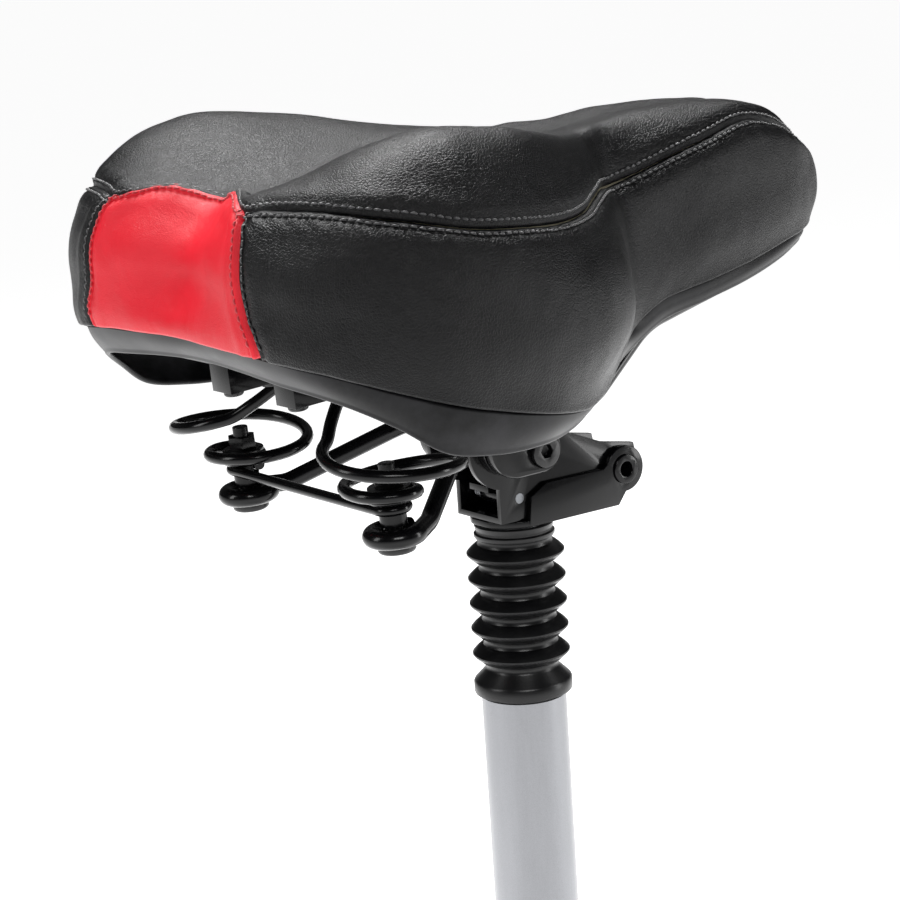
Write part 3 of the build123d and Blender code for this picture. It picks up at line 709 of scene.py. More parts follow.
@dataclass(frozen=True)
class SaddleShape:
    """The saddle's rings and surfaces, worked out from its stations.

    A place on the edge is a number from 0 at the rear middle, up the left side to 1 at
    the nose and back along the right side to 2.
    """

    around: int = 400
    seam_outward: float = 0.72
    seam_downward: float = 0.69
    upper_pull: float = 0.42
    lower_pull: float = 0.45
    tuck_out: float = 2.0
    tuck_rise: float = 0.30

    def knots(self) -> np.ndarray:
        """Places of the stations along the edge.

        Returns:
            Rising places from 0 round to 2, where the edge closes.
        """
        half = np.array([s.bulge for s in STATIONS], float)
        run = np.concatenate([[0], np.cumsum(np.linalg.norm(np.diff(half, axis=0), axis=1))])
        run = run / run[-1]
        return np.concatenate([run, 2 - run[-2::-1]])

    def ring(self, name: str, at: np.ndarray) -> np.ndarray:
        """Points of one ring.

        Args:
            name: The station's field: seam, bulge, rim or skirt.
            at: Places on the edge.

        Returns:
            A point for each place.
        """
        left = np.array([getattr(s, name) for s in STATIONS], float)
        right = left[-2:0:-1] * np.array([1, -1, 1])
        return hermite(self.knots(), np.concatenate([left, right]), at, closed=True)

    def spine_place(self, at: np.ndarray) -> np.ndarray:
        """Where on the middle line each place on the edge is joined to.

        Args:
            at: Places on the edge.

        Returns:
            X of each, in level millimetres.
        """
        left = np.array([[s.spine] for s in STATIONS], float)
        both = np.concatenate([left, left[-2:0:-1]])
        return hermite(self.knots(), both, at, closed=True)[:, 0]

    def corner(self) -> float:
        """Place on the edge of the left rear corner, where the red panel ends."""
        return float(self.knots()[2])

    def top_height(self, x: np.ndarray, y: np.ndarray) -> np.ndarray:
        """Height of the padded top over a point.

        Args:
            x: Places along the saddle.
            y: Places across it.

        Returns:
            The height, without the seam's own line.
        """
        middle = profile([
            (-131, 143), (-111, 145), (-85, 146.5), (-60, 147.5), (-36, 148.5), (0, 148.5),
            (25, 147), (43, 147.5), (73, 148), (105, 146.5), (126, 142.5), (140, 137),
            (152, 128), (162, 119),
        ], x)
        crest = profile([
            (-132, 152.5), (-122, 162), (-112, 166.5), (-100, 169), (-85, 170), (-67, 169.5),
            (-50, 166.5), (-36, 163.5), (-20, 159), (0, 153.5), (20, 150), (43, 148.5),
            (73, 149), (105, 147), (126, 143), (140, 137.5), (152, 128), (162, 119),
        ], x)
        crest_y = profile([(-132, 66), (-110, 73), (-60, 74), (-30, 67), (0, 50), (22, 32),
                           (50, 16), (83, 13), (162, 6)], x)
        edge = profile([(-132, 92), (-119, 99), (-104, 106), (-82, 109), (-58, 106),
                        (-36, 97), (-14, 81.5), (4, 65.5), (20, 50.5), (33, 37.5), (51, 35),
                        (83, 34.5), (112, 29), (134, 22), (149, 14), (160, 6)], x)
        edge_z = profile([(-132, 153), (-104, 146), (-82, 140), (-58, 135.5), (-36, 132),
                          (-14, 130), (20, 130.5), (33, 128), (51, 130), (83, 136),
                          (112, 139), (134, 133.5), (149, 126), (161, 120)], x)
        out = np.abs(y)
        rise = np.clip(out / crest_y, 0, 1)
        rise = rise * rise * (3 - 2 * rise)
        fall = np.clip((out - crest_y) / np.maximum(edge - crest_y, 3.0), 0, 1.3)
        return middle + (crest - middle) * rise - (crest - edge_z) * fall**2.3

    def top_grid(self, at: np.ndarray, rows: int) -> np.ndarray:
        """Points of the top, from the seam in to the middle line.

        Args:
            at: Places on the edge, one per column.
            rows: Number of rows.

        Returns:
            Rows by columns of points; the first row is the seam.
        """
        seam = self.ring("seam", at)
        spine = np.stack([self.spine_place(at), 0 * at, 0 * at], 1)
        share = np.linspace(0, 1, rows) ** 1.35
        share = share[:, None]
        x = seam[:, 0] + (spine[:, 0] - seam[:, 0]) * share
        y = seam[:, 1] * (1 - share)
        z = self.top_height(x.ravel(), y.ravel()).reshape(x.shape)
        miss = seam[:, 2] - z[0]
        z = z + miss * (1 - share) ** 3
        return np.stack([x, y, z], 2)

    def side_grid(self, at: np.ndarray, rows: int) -> np.ndarray:
        """Points of the side, from the seam down over the bulge to the rim and under it.

        Args:
            at: Places on the edge, one per column.
            rows: Number of rows.

        Returns:
            Rows by columns of points; the first row is the seam.
        """
        seam, bulge, rim = (self.ring(n, at) for n in ("seam", "bulge", "rim"))
        spine = np.stack([self.spine_place(at), 0 * at], 1)
        out = bulge[:, :2] - spine
        out = out / np.linalg.norm(out, axis=1, keepdims=True)
        out = np.concatenate([out, np.zeros((len(at), 1))], 1)
        up = np.array([0.0, 0.0, 1.0])
        drop = (seam[:, 2] - bulge[:, 2])[:, None]
        fall = (bulge[:, 2] - rim[:, 2])[:, None]
        lead = out * self.seam_outward - up * self.seam_downward
        tuck = rim + out * self.tuck_out + up * self.tuck_rise * fall
        first = [seam, seam + lead * self.upper_pull * drop, bulge + up * self.upper_pull * drop,
                 bulge]
        second = [bulge, bulge - up * self.lower_pull * fall, tuck, rim]
        half = rows // 2
        upper = self.bezier(first, np.linspace(0, 1, half, endpoint=False) ** 1.2)
        lower = self.bezier(second, np.linspace(0, 1, rows - half))
        return np.concatenate([upper, lower])

    @staticmethod
    def bezier(corners: list[np.ndarray], share: np.ndarray) -> np.ndarray:
        """Cubic curves down each column, read at the same shares.

        Args:
            corners: The curves' four control points, one row of columns each.
            share: How far along the curves to read, from 0 to 1.

        Returns:
            A row of points for each share.
        """
        t = share[:, None, None]
        a, b, c, d = (p[None] for p in corners)
        return (a * (1 - t)**3 + 3 * b * t * (1 - t)**2 + 3 * c * t**2 * (1 - t) + d * t**3)


SHAPE = SaddleShape()


def slack(grid: np.ndarray, normals: np.ndarray, amount: float) -> np.ndarray:
    """Move a sheet's points by the small unevenness of foam under a stretched cover.

    Args:
        grid: Points in level millimetres, rows by columns.
        normals: Their unit normals.
        amount: Greatest height of the unevenness, in millimetres.

    Returns:
        The moved points.
    """
    moved = grid.copy()
    rows, columns, _ = grid.shape
    for r in range(rows):
        for c in range(columns):
            p = Vector(grid[r, c])
            swell = field.noise(p / 26.0) + 0.45 * field.noise(p / 9.0)
            moved[r, c] += normals[r, c] * amount * swell
    return moved


@dataclass(frozen=True)
class Stitching:
    """Rows of thread laid along a line, each stitch bowed up between its two holes."""

    pitch: float = 3.0
    length: float = 2.4
    radius: float = 0.46
    rise: float = 0.42
    rings: int = 5
    facets: int = 6

    def stitches(self, line: np.ndarray, outward: np.ndarray) -> tuple[list, list]:
        """Mesh of one row.

        Args:
            line: Points that the row follows, in level millimetres.
            outward: The sheet's normal at each point.

        Returns:
            Points and faces of all the row's stitches.
        """
        steps = np.linalg.norm(np.diff(line, axis=0), axis=1)
        run = np.concatenate([[0], np.cumsum(steps)])
        points, faces = [], []
        for place in np.arange(self.pitch / 2, run[-1] - self.pitch / 2, self.pitch):
            share = np.linspace(-1, 1, self.rings)
            base = len(points)
            for u in share:
                at = place + u * self.length / 2
                centre = np.array([np.interp(at, run, line[:, k]) for k in range(3)])
                up = np.array([np.interp(at, run, outward[:, k]) for k in range(3)])
                up = up / np.linalg.norm(up)
                along = np.array([np.interp(place + 1.0, run, line[:, k])
                                  - np.interp(place - 1.0, run, line[:, k]) for k in range(3)])
                side = np.cross(up, along / np.linalg.norm(along))
                bow = centre + up * (self.rise * (1 - u * u) - 0.12)
                size = self.radius * math.sqrt(max(1 - 0.75 * u * u, 0.05))
                for facet in range(self.facets):
                    turn = facet / self.facets * math.tau
                    points.append(bow + size * (math.cos(turn) * side + math.sin(turn) * up))
            for ring in range(self.rings - 1):
                for facet in range(self.facets):
                    low = base + ring * self.facets
                    after = (facet + 1) % self.facets
                    faces.append((low + facet, low + after, low + self.facets + after,
                                  low + self.facets + facet))
            last = base + (self.rings - 1) * self.facets
            faces.append(tuple(base + f for f in range(self.facets))[::-1])
            faces.append(tuple(last + f for f in range(self.facets)))
        return points, faces

    def piece(self, name: str, rows: list[tuple[np.ndarray, np.ndarray]],
              material: bpy.types.Material) -> bpy.types.Object:
        """One object of several rows.

        Args:
            name: The piece's name.
            rows: Line and outward normals of each row.
            material: The thread.

        Returns:
            The thread, riding on the saddle.
        """
        points, faces = [], []
        for line, outward in rows:
            more, quads = self.stitches(line, outward)
            faces += [tuple(len(points) + v for v in q) for q in quads]
            points += more
        piece = mesh_piece(name, SADDLE.place(np.array(points)), faces, material)
        clean(piece, 1e-7)
        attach(piece, "saddle")
        return piece


class Edge(Enum):
    """How a panel is finished along a seam: turned flat, or with a raised fold."""

    FLAT = 0.0
    FOLDED = 1.0


@dataclass
class Cover:
    """The sewn cover: a top, two sides and a red rear panel, with its seams."""

    rows_top: int = 50
    rows_side: int = 60
    hem: float = 10.0
    hem_round: float = 1.6
    thickness: float = 1.1
    stitch_line: float = 3.2
    pucker: float = 0.16
    pucker_pitch: float = 9.0
    unevenness: float = 0.5
    seam_dip: float = 1.3
    fold_rise: float = 0.25
    extra_fold_rise: float = 0.35
    stitch_dip: float = 0.55
    swell: float = 0.55
    heart: tuple[float, float, float] = (-40.0, 0.0, 110.0)

    def columns(self, start: float, end: float, crowd: float = 0.0) -> np.ndarray:
        """Places on the edge for a panel.

        Args:
            start: Place where the panel starts.
            end: Place where it ends.
            crowd: How far the places crowd to both ends, from 0 to under 1.

        Returns:
            Rising places on the edge.
        """
        count = int(round((end - start) * SHAPE.around)) + 1
        share = np.linspace(0, 1, count)
        share = share - crowd * np.sin(share * math.tau) / math.tau
        return start + (end - start) * share

    def outward(self, grid: np.ndarray) -> np.ndarray:
        """Normals of a grid that point away from the middle of the padding.

        Args:
            grid: Rows by columns of points in level millimetres.

        Returns:
            A unit normal for each point.
        """
        normals = grid_normals(grid)
        away = grid - np.array(self.heart)
        side = np.sign(np.mean(np.sum(normals * away, axis=2)))
        return normals * side

    @staticmethod
    def hump(away: np.ndarray, centre: float, reach: float) -> np.ndarray:
        """A hump one high beside a seam, by its distance from the seam and its reach."""
        return np.exp(-((away - centre) / reach) ** 2)

    def seamed(self, grid: np.ndarray, distances: list[np.ndarray],
               edge: Edge = Edge.FLAT) -> np.ndarray:
        """Draw a panel in along its seams, with small puckers beside them.

        Args:
            grid: The panel's points in level millimetres.
            distances: For each seam, how far each point is from it.
            edge: Whether the seam's edge is flat or raised in a fold.

        Returns:
            The panel with its seams pulled down.
        """
        normals = self.outward(grid)
        grid = slack(grid, normals, self.unevenness)
        step = np.linalg.norm(np.diff(grid, axis=1, prepend=grid[:, :1]), axis=2)
        run = np.cumsum(step, axis=1)
        wave = np.sin(run / self.pucker_pitch * math.tau + 1.7 * np.sin(run / 31.0))
        for away in distances:
            fold_height = self.fold_rise + self.extra_fold_rise * edge.value
            dip = -self.seam_dip * self.hump(away, 0.0, 1.3)
            fold = fold_height * self.hump(away, 2.2, 1.1)
            sewn = -self.stitch_dip * self.hump(away, self.stitch_line, 0.8)
            puff = self.swell * self.hump(away, 8.0, 4.0)
            ripple = self.pucker * wave * self.hump(away, 4.5, 4.5)
            grid = grid + normals * (dip + fold + sewn + puff + ripple)[..., None]
        return grid

    def panel(self, name: str, grid: np.ndarray, material: bpy.types.Material,
              node: str) -> bpy.types.Object:
        """Turn a grid into a leather panel with its own thickness.

        Args:
            name: The piece's name.
            grid: Points in level millimetres, rows by columns.
            material: The leather.
            node: The CAD node that the panel stands for.

        Returns:
            The finished panel.
        """
        rows, columns, _ = grid.shape
        piece = mesh_piece(name, SADDLE.place(grid.reshape(-1, 3)), grid_faces(rows, columns),
                           material)
        clean(piece, 2e-5)
        heart = Vector(SADDLE.place(np.array([self.heart]))[0])
        facing = sum(f.normal.dot(f.center - heart) for f in piece.data.polygons)
        if facing < 0:
            piece.data.flip_normals()
        apply_modifier(piece, "SOLIDIFY", thickness=self.thickness * MM, offset=-1.0)
        piece.data.shade_smooth()
        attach(piece, "saddle")
        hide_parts(node)
        log.info("%s made", name)
        return piece

    def with_hem(self, grid: np.ndarray) -> np.ndarray:
        """Turn a panel's lower edge under and in, as it is stapled to the pan.

        Args:
            grid: The panel's points, whose last row is its lower edge.

        Returns:
            The points with the hem's rows after them.
        """
        rim = grid[-1]
        inwards = np.array([-40.0, 0.0]) - rim[:, :2]
        inwards = inwards / np.linalg.norm(inwards, axis=1, keepdims=True)
        turned = []
        for angle in np.radians([22, 45, 68, 90]):
            step = rim.copy()
            step[:, :2] += inwards * self.hem_round * (1 - math.cos(angle))
            step[:, 2] -= self.hem_round * math.sin(angle)
            turned.append(step)
        for share in np.linspace(0.25, 1, 4):
            step = turned[3].copy()
            step[:, :2] += inwards * self.hem * share
            turned.append(step)
        return np.concatenate([grid, np.array(turned)])

    def side_panel(self, side: Side) -> np.ndarray:
        """Points of one side panel, seamed at its top and at its rear corner.

        Args:
            side: Which side it covers.

        Returns:
            Rows by columns of points; the first row is the top seam.
        """
        corner = SHAPE.corner()
        start, end = (corner, 1.0) if side is Side.LEFT else (1.0, 2.0 - corner)
        grid = SHAPE.side_grid(self.columns(start, end, 0.4), self.rows_side)
        rear = grid[:, :1] if side is Side.LEFT else grid[:, -1:]
        away_top = np.linalg.norm(grid - grid[0][None], axis=2)
        return self.seamed(grid, [away_top, np.linalg.norm(grid - rear, axis=2)])

    def rear_panel(self) -> np.ndarray:
        """Points of the red panel between the two rear corners.

        Returns:
            Rows by columns of points; the first row is the top seam.
        """
        corner = SHAPE.corner()
        at = self.columns(-corner, corner, 0.75)
        grid = SHAPE.side_grid(at % 2.0, self.rows_side)
        away_top = np.linalg.norm(grid - grid[0][None], axis=2)
        ends = [np.linalg.norm(grid - grid[:, k:k + 1], axis=2) for k in (0, grid.shape[1] - 1)]
        return self.seamed(grid, [away_top, *ends], Edge.FOLDED)

    def row(self, grid: np.ndarray, distance: float,
            turned: bool = False) -> tuple[np.ndarray, np.ndarray]:
        """A stitch row at a distance from a panel's first row, or from its first column.

        Args:
            grid: The seamed panel's points.
            distance: How far in the row lies, in millimetres.
            turned: Whether it follows the first column instead.

        Returns:
            The row's line and its outward normals.
        """
        normals = self.outward(grid)
        if turned:
            grid, normals = grid.transpose(1, 0, 2), normals.transpose(1, 0, 2)
        joined = np.concatenate([grid, normals], 2)
        steps = np.linalg.norm(np.diff(grid, axis=0), axis=2)
        run = np.concatenate([np.zeros((1, grid.shape[1])), np.cumsum(steps, axis=0)])
        line = np.array([
            [np.interp(distance, run[:, c], joined[:, c, k]) for k in range(6)]
            for c in range(grid.shape[1])
        ])
        return line[:, :3], line[:, 3:]

    def build(self, finishes: dict[str, bpy.types.Material]) -> None:
        """Make the four panels and the thread that joins them.

        Args:
            finishes: Materials by slot name.
        """
        top_at = self.columns(0.0, 2.0)
        top = SHAPE.top_grid(top_at, self.rows_top)
        top = self.seamed(top, [np.linalg.norm(top - top[0][None], axis=2)])
        piece = self.panel("cover_top_panel", top, finishes["black_leather"], "cover_top")
        black_rows = [self.row(top, self.stitch_line)]
        for side in Side:
            grid = self.side_panel(side)
            piece = self.panel(f"cover_side_panel_{side.word}", self.with_hem(grid),
                               finishes["black_leather"], f"cover_side_{side.word}")
            black_rows.append(self.row(grid, self.stitch_line))
            outer = grid if side is Side.LEFT else grid[:, ::-1]
            black_rows.append(self.row(outer, self.stitch_line, turned=True))
        rear = self.rear_panel()
        piece = self.panel("cover_rear_red_panel", self.with_hem(rear), finishes["red_leather"],
                           "cover_rear_panel")
        red_rows = [self.row(rear, self.stitch_line), self.row(rear, self.stitch_line, turned=True),
                    self.row(rear[:, ::-1], self.stitch_line, turned=True)]
        thread = Stitching()
        thread.piece("seam_thread_black", black_rows, finishes["black_thread"])
        thread.piece("seam_thread_red", red_rows, finishes["red_thread"])
        log.info("%d stitch rows made", len(black_rows) + len(red_rows))


@dataclass
class Cushion:
    """The foam under the cover: the same form, drawn in to leave room for the leather."""

    shrink: float = 3.2
    around: int = 180
    rows: int = 24
    base_lift: float = 1.0

    def build(self, finishes: dict[str, bpy.types.Material]) -> None:
        """Make the closed foam body.

        Args:
            finishes: Materials by slot name.
        """
        at = np.linspace(0, 2, 2 * self.around, endpoint=False)
        top = SHAPE.top_grid(at, self.rows)[::-1]
        side = SHAPE.side_grid(at, self.rows)
        rim = side[-1]
        spine = np.stack([SHAPE.spine_place(at), 0 * at], 1)
        base = []
        for share in (0.4, 0.8, 1.0):
            step = rim.copy()
            step[:, :2] += (spine - rim[:, :2]) * share
            step[:, 2] = roof_height(step[:, 0]) + self.base_lift
            base.append(step)
        grid = np.concatenate([top, side[1:], np.array(base)])
        rows, columns, _ = grid.shape
        piece = mesh_piece("foam_pad", SADDLE.place(grid.reshape(-1, 3)),
                           grid_faces(rows, columns, closed=True), finishes["foam"])
        clean(piece, 2e-5)
        normals = np.array([v.normal for v in piece.data.vertices])
        points = np.array([v.co for v in piece.data.vertices]) - normals * self.shrink * MM
        piece.data.vertices.foreach_set("co", points.ravel())
        piece.data.update()
        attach(piece, "saddle")
        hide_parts("foam_cushion")
        log.info("foam pad made")


def roof_height(x: np.ndarray) -> np.ndarray:
    """Height of the padding's underside, which the pan's roof follows.

    Args:
        x: Places along the saddle.

    Returns:
        The height at each place, in level millimetres.
    """
    return profile([
        (-139, 104), (-128, 97), (-112, 90), (-85, 80), (-50, 70), (-20, 67), (0, 68), (22, 70),
        (50, 79), (83, 81.5), (112, 84), (140, 86), (160, 88), (170, 92),
    ], x)


@dataclass
class Pan:
    """The moulded pan: a roof under the padding and a skirt hanging all round."""

    inset: float = 3.5
    wall: float = 3.0
    drop: float = 2.0
    around: int = 260
    wall_rows: int = 14

    def inwards(self, ring: np.ndarray, at: np.ndarray, distance: float) -> np.ndarray:
        """Move a ring towards the middle line, level.

        Args:
            ring: Points of the ring in level millimetres.
            at: Their places on the edge.
            distance: How far they move.

        Returns:
            The moved points.
        """
        spine = np.stack([SHAPE.spine_place(at), 0 * at], 1)
        way = spine - ring[:, :2]
        way = way / np.linalg.norm(way, axis=1, keepdims=True)
        moved = ring.copy()
        moved[:, :2] += way * distance
        return moved

    def wall_grid(self, at: np.ndarray, top: np.ndarray, foot: np.ndarray) -> np.ndarray:
        """Rows of a wall between two rings, slightly bowed out.

        Args:
            at: Places on the edge, one per column.
            top: The wall's upper ring.
            foot: Its lower ring.

        Returns:
            Rows by columns of points, from the top down.
        """
        share = np.linspace(0, 1, self.wall_rows)[:, None, None]
        rows = top[None] * (1 - share) + foot[None] * share
        bow = np.sin(share[:, 0, 0] * math.pi) * -1.2
        return np.array([self.inwards(r, at, b) for r, b in zip(rows, bow)])

    def roof_grid(self, at: np.ndarray, ring: np.ndarray, depth: float) -> np.ndarray:
        """Rows from a ring in to the middle line, at a depth under the padding.

        Args:
            at: Places on the edge, one per column.
            ring: The roof's outer ring.
            depth: How far below the padding's underside the rows lie.

        Returns:
            Rows by columns of points, from the ring inwards.
        """
        spine = np.stack([SHAPE.spine_place(at), 0 * at], 1)
        rows = []
        for share in np.linspace(0, 1, 9)[1:]:
            step = ring.copy()
            step[:, :2] += (spine - ring[:, :2]) * share
            level = roof_height(step[:, 0]) - depth
            miss = ring[:, 2] - (roof_height(ring[:, 0]) - depth)
            step[:, 2] = level + miss * (1 - share) ** 3
            rows.append(step)
        return np.array(rows)

    def build(self, finishes: dict[str, bpy.types.Material]) -> None:
        """Make the pan.

        Args:
            finishes: Materials by slot name.
        """
        at = np.linspace(0, 2, 2 * self.around, endpoint=False)
        rim, skirt = SHAPE.ring("rim", at), SHAPE.ring("skirt", at)
        top = self.inwards(rim, at, self.inset)
        top[:, 2] -= self.drop
        outside = self.wall_grid(at, top, skirt)
        inner_foot = self.inwards(skirt, at, self.wall)
        inner_top = self.inwards(top, at, self.wall)
        inner_top[:, 2] -= self.wall
        inside = self.wall_grid(at, inner_top, inner_foot)[::-1]
        edge = []
        for angle in np.radians([30, 60, 90, 120, 150]):
            step = self.inwards(skirt, at, self.wall / 2 * (1 - math.cos(angle)))
            step[:, 2] -= self.wall / 2 * math.sin(angle)
            edge.append(step)
        upper = self.roof_grid(at, top, self.drop)[::-1]
        lower = self.roof_grid(at, inner_top, self.drop + self.wall)
        grid = np.concatenate([upper, outside, np.array(edge), inside, lower])
        rows, columns, _ = grid.shape
        piece = mesh_piece("pan_moulding", SADDLE.place(grid.reshape(-1, 3)),
                           grid_faces(rows, columns, closed=True), finishes["black_pan_plastic"])
        clean(piece, 2e-5)
        piece.data.shade_smooth()
        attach(piece, "saddle")
        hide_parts("pan_shell")
        log.info("pan made")


def wire(name: str, path: np.ndarray, radius: float,
         material: bpy.types.Material) -> bpy.types.Object:
    """A round wire along a path.

    Args:
        name: The piece's name.
        path: Points in level saddle millimetres.
        radius: The wire's radius in millimetres.
        material: Its finish.

    Returns:
        The wire as a closed mesh.
    """
    data = bpy.data.curves.new(name, "CURVE")
    data.dimensions = "3D"
    data.bevel_depth = radius * MM
    data.bevel_resolution = 4
    data.use_fill_caps = True
    spline = data.splines.new("POLY")
    points = SADDLE.place(path)
    spline.points.add(len(points) - 1)
    spline.points.foreach_set("co", np.concatenate([points, np.ones((len(points), 1))], 1).ravel())
    piece = bpy.data.objects.new(name, data)
    bpy.context.scene.collection.objects.link(piece)
    select_only(piece)
    bpy.ops.object.convert(target="MESH")
    piece = bpy.context.object
    dress(piece, material)
    clean(piece, 1e-6)
    bpy.ops.object.shade_smooth_by_angle(angle=math.radians(50))
    return piece


@dataclass
class RearSpring:
    """One conical wire spring: a seat coil on its bolt, opening coils, and a tail."""

    wire_radius: float = 2.35
    bolt: tuple[float, float] = (-90.0, 49.4)
    seat_z: float = 40.7
    keep: float = 0.42
    per_turn: int = 40

    def path(self) -> np.ndarray:
        """The left spring's centre line.

        Returns:
            Points in level saddle millimetres, from the seat coil to the tail's end.
        """
        coil = np.array([
            (-290, 6.9, 40.7), (-90, 6.9, 40.7), (0, 7.2, 41.0), (68, 11.4, 42.5),
            (198, 14.5, 44.0), (322, 25.0, 45.0), (397, 27.0, 50.0), (497, 25.0, 55.0),
            (589, 21.0, 61.0),
        ])
        turns = np.linspace(coil[0, 0], coil[-1, 0], int(self.per_turn * 2.5))
        size = hermite(coil[:, 0], coil[:, 1:], turns)
        angle = np.radians(turns)
        ring = np.stack([
            self.bolt[0] + size[:, 0] * np.cos(angle), self.bolt[1] + size[:, 0] * np.sin(angle),
            size[:, 1],
        ], 1)
        tail = np.array([ring[-1], (-96.0, 26.5, 66.0), (-89.0, 21.5, 71.0), (-84.0, 18.5, 74.2)])
        start = ring[-6:-1:4]
        knots = np.concatenate([start, tail])
        run = np.concatenate([[0], np.cumsum(np.linalg.norm(np.diff(knots, axis=0), axis=1))])
        bend = hermite(run, knots, np.linspace(run[len(start)], run[-1], 26))
        return np.concatenate([ring[:-1], bend])

    def build(self, side: Side, finishes: dict[str, bpy.types.Material]) -> None:
        """Make one spring.

        Args:
            side: Which side it stands on.
            finishes: Materials by slot name.
        """
        path = self.path() * np.array([1, side.value, 1])
        piece = wire(f"conical_spring_{side.word}", path, self.wire_radius,
                     finishes["black_gloss_paint"])
        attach(piece, "undercarriage")
        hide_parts(f"rear_spring_{side.word}")
        foot = SADDLE.place(np.array([[self.bolt[0], self.bolt[1] * side.value, self.seat_z]]))[0]
        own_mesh(piece)
        log.info("rear spring %s made", side.word)


@dataclass
class Bellows:
    """The rubber boot: a band on the bush, a row of rounded folds, a collar on the stem."""

    ridge_r: float = 19.6
    valley_r: float = 14.4
    band_r: float = 19.6
    inner_r: float = 16.9
    collar_r: float = 16.0
    neck_r: float = 14.2
    stem_r: float = 11.3
    band_height: float = 6.0
    collar_height: float = 7.0
    folds: int = 6
    facets: int = 96
    keep: float = 0.56

    def outline(self, low: float, high: float) -> list[tuple[float, float]]:
        """Radius and height of the boot's closed profile, in millimetres.

        Args:
            low: Height of its lower end.
            high: Height of its upper end.

        Returns:
            Points up the outside and back down the inside.
        """
        band, collar = self.band_height, self.collar_height
        outside = [(self.inner_r, low), (self.band_r - 0.7, low), (self.band_r - 0.2, low + 0.2),
                   (self.band_r, low + 0.8), (self.band_r, low + band - 1.4),
                   (self.band_r - 0.5, low + band - 0.5)]
        first, last = low + band, high - collar
        pitch = (last - first) / (self.folds - 0.5)
        reach = self.ridge_r - self.valley_r
        for fold in range(self.folds):
            valley = first + (fold + 0.5) * pitch
            if fold > 0:
                ridge = valley - pitch / 2
                for share in (-0.30, -0.17, -0.09, -0.03, 0.03, 0.09, 0.17, 0.30):
                    drop = abs(share) / 0.5
                    outside.append((self.ridge_r - reach * (0.72 * drop + 0.45 * drop * drop),
                                    ridge + share * pitch))
            for share in (-0.14, -0.05, 0.05, 0.14):
                lift = (abs(share) / 0.14) ** 2
                outside.append((self.valley_r + 0.5 * lift, valley + share * pitch))
        outside += [(self.collar_r - 0.6, high - collar + 1.0), (self.collar_r, high - collar + 2.0),
                    (self.collar_r, high - 4.0), (self.neck_r + 0.8, high - 3.5),
                    (self.neck_r + 0.8, high - 2.8), (self.collar_r - 0.6, high - 2.2),
                    (self.collar_r - 0.3, high - 0.6), (self.collar_r - 0.9, high)]
        inside = [(self.stem_r, high), (self.stem_r, high - collar)]
        inside += [(self.valley_r - 1.6, high - collar - 3.0), (self.valley_r - 1.6, low + 8.0),
                   (self.inner_r, low + 5.5)]
        return outside + inside

    def build(self, finishes: dict[str, bpy.types.Material]) -> None:
        """Make the boot by drawing a ring up along its profile.

        Args:
            finishes: Materials by slot name.
        """
        low, high = (corner.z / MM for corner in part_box("bellows"))
        outline = self.outline(low, high)
        piece = turned_ring("bellows_boot", outline, self.facets, finishes["boot_rubber"])
        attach(piece, "seatpost")
        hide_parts("bellows")
        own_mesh(piece)
        log.info("bellows made")


def turned_ring(name: str, outline: list[tuple[float, float]], facets: int,
                material: bpy.types.Material) -> bpy.types.Object:
    """Turn a closed profile about the seatpost's axis.

    Args:
        name: The piece's name.
        outline: Radius and height of each point, in millimetres; it closes on itself.
        facets: Number of sides of the ring.
        material: Its finish.

    Returns:
        The turned shape with its place in its mesh.
    """
    bpy.ops.object.select_all(action="DESELECT")
    radius, height = outline[0]
    bpy.ops.mesh.primitive_circle_add(vertices=facets, radius=radius * MM,
                                      location=(0.0, 0.0, height * MM))
    piece = bpy.context.object
    piece.name = name
    piece.data.name = name
    bpy.ops.object.transform_apply(location=True, rotation=True, scale=True)
    bpy.ops.object.mode_set(mode="EDIT")
    bpy.ops.mesh.select_all(action="SELECT")
    for next_radius, next_height in outline[1:] + outline[:1]:
        rise = (next_height - height) * MM
        bpy.ops.mesh.extrude_edges_move(TRANSFORM_OT_translate={"value": (0.0, 0.0, rise)})
        grow = next_radius / radius
        bpy.ops.transform.resize(value=(grow, grow, 1.0),
                                 center_override=(0.0, 0.0, next_height * MM))
        radius, height = next_radius, next_height
    bpy.ops.object.mode_set(mode="OBJECT")
    clean(piece, 1e-6)
    dress(piece, material)
    bpy.ops.object.shade_smooth_by_angle(angle=math.radians(40))
    return piece


def copied(node: str, name: str) -> bpy.types.Object:
    """A copy of a CAD node with a mesh of its own.

    Args:
        node: The node to copy.
        name: The copy's name.

    Returns:
        The copy, in the scene.
    """
    source = frame["nodes"][node]
    piece = source.copy()
    piece.data = source.data.copy()
    piece.name = name
    piece.data.name = name
    for key in list(piece.keys()):
        del piece[key]
    bpy.context.scene.collection.objects.link(piece)
    return piece


@dataclass(frozen=True)
class PostSpring:
    """The coil spring inside the seatpost."""

    keep: float = 0.82

    def build(self, finishes: dict[str, bpy.types.Material]) -> None:
        """Make the spring.

        Args:
            finishes: Materials by slot name.
        """
        piece = copied("suspension_spring", "seatpost_coil_spring")
        dress(piece, finishes["spring_steel"])
        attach(piece, "seatpost")
        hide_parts("suspension_spring")
        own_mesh(piece)
        log.info("seatpost spring made")


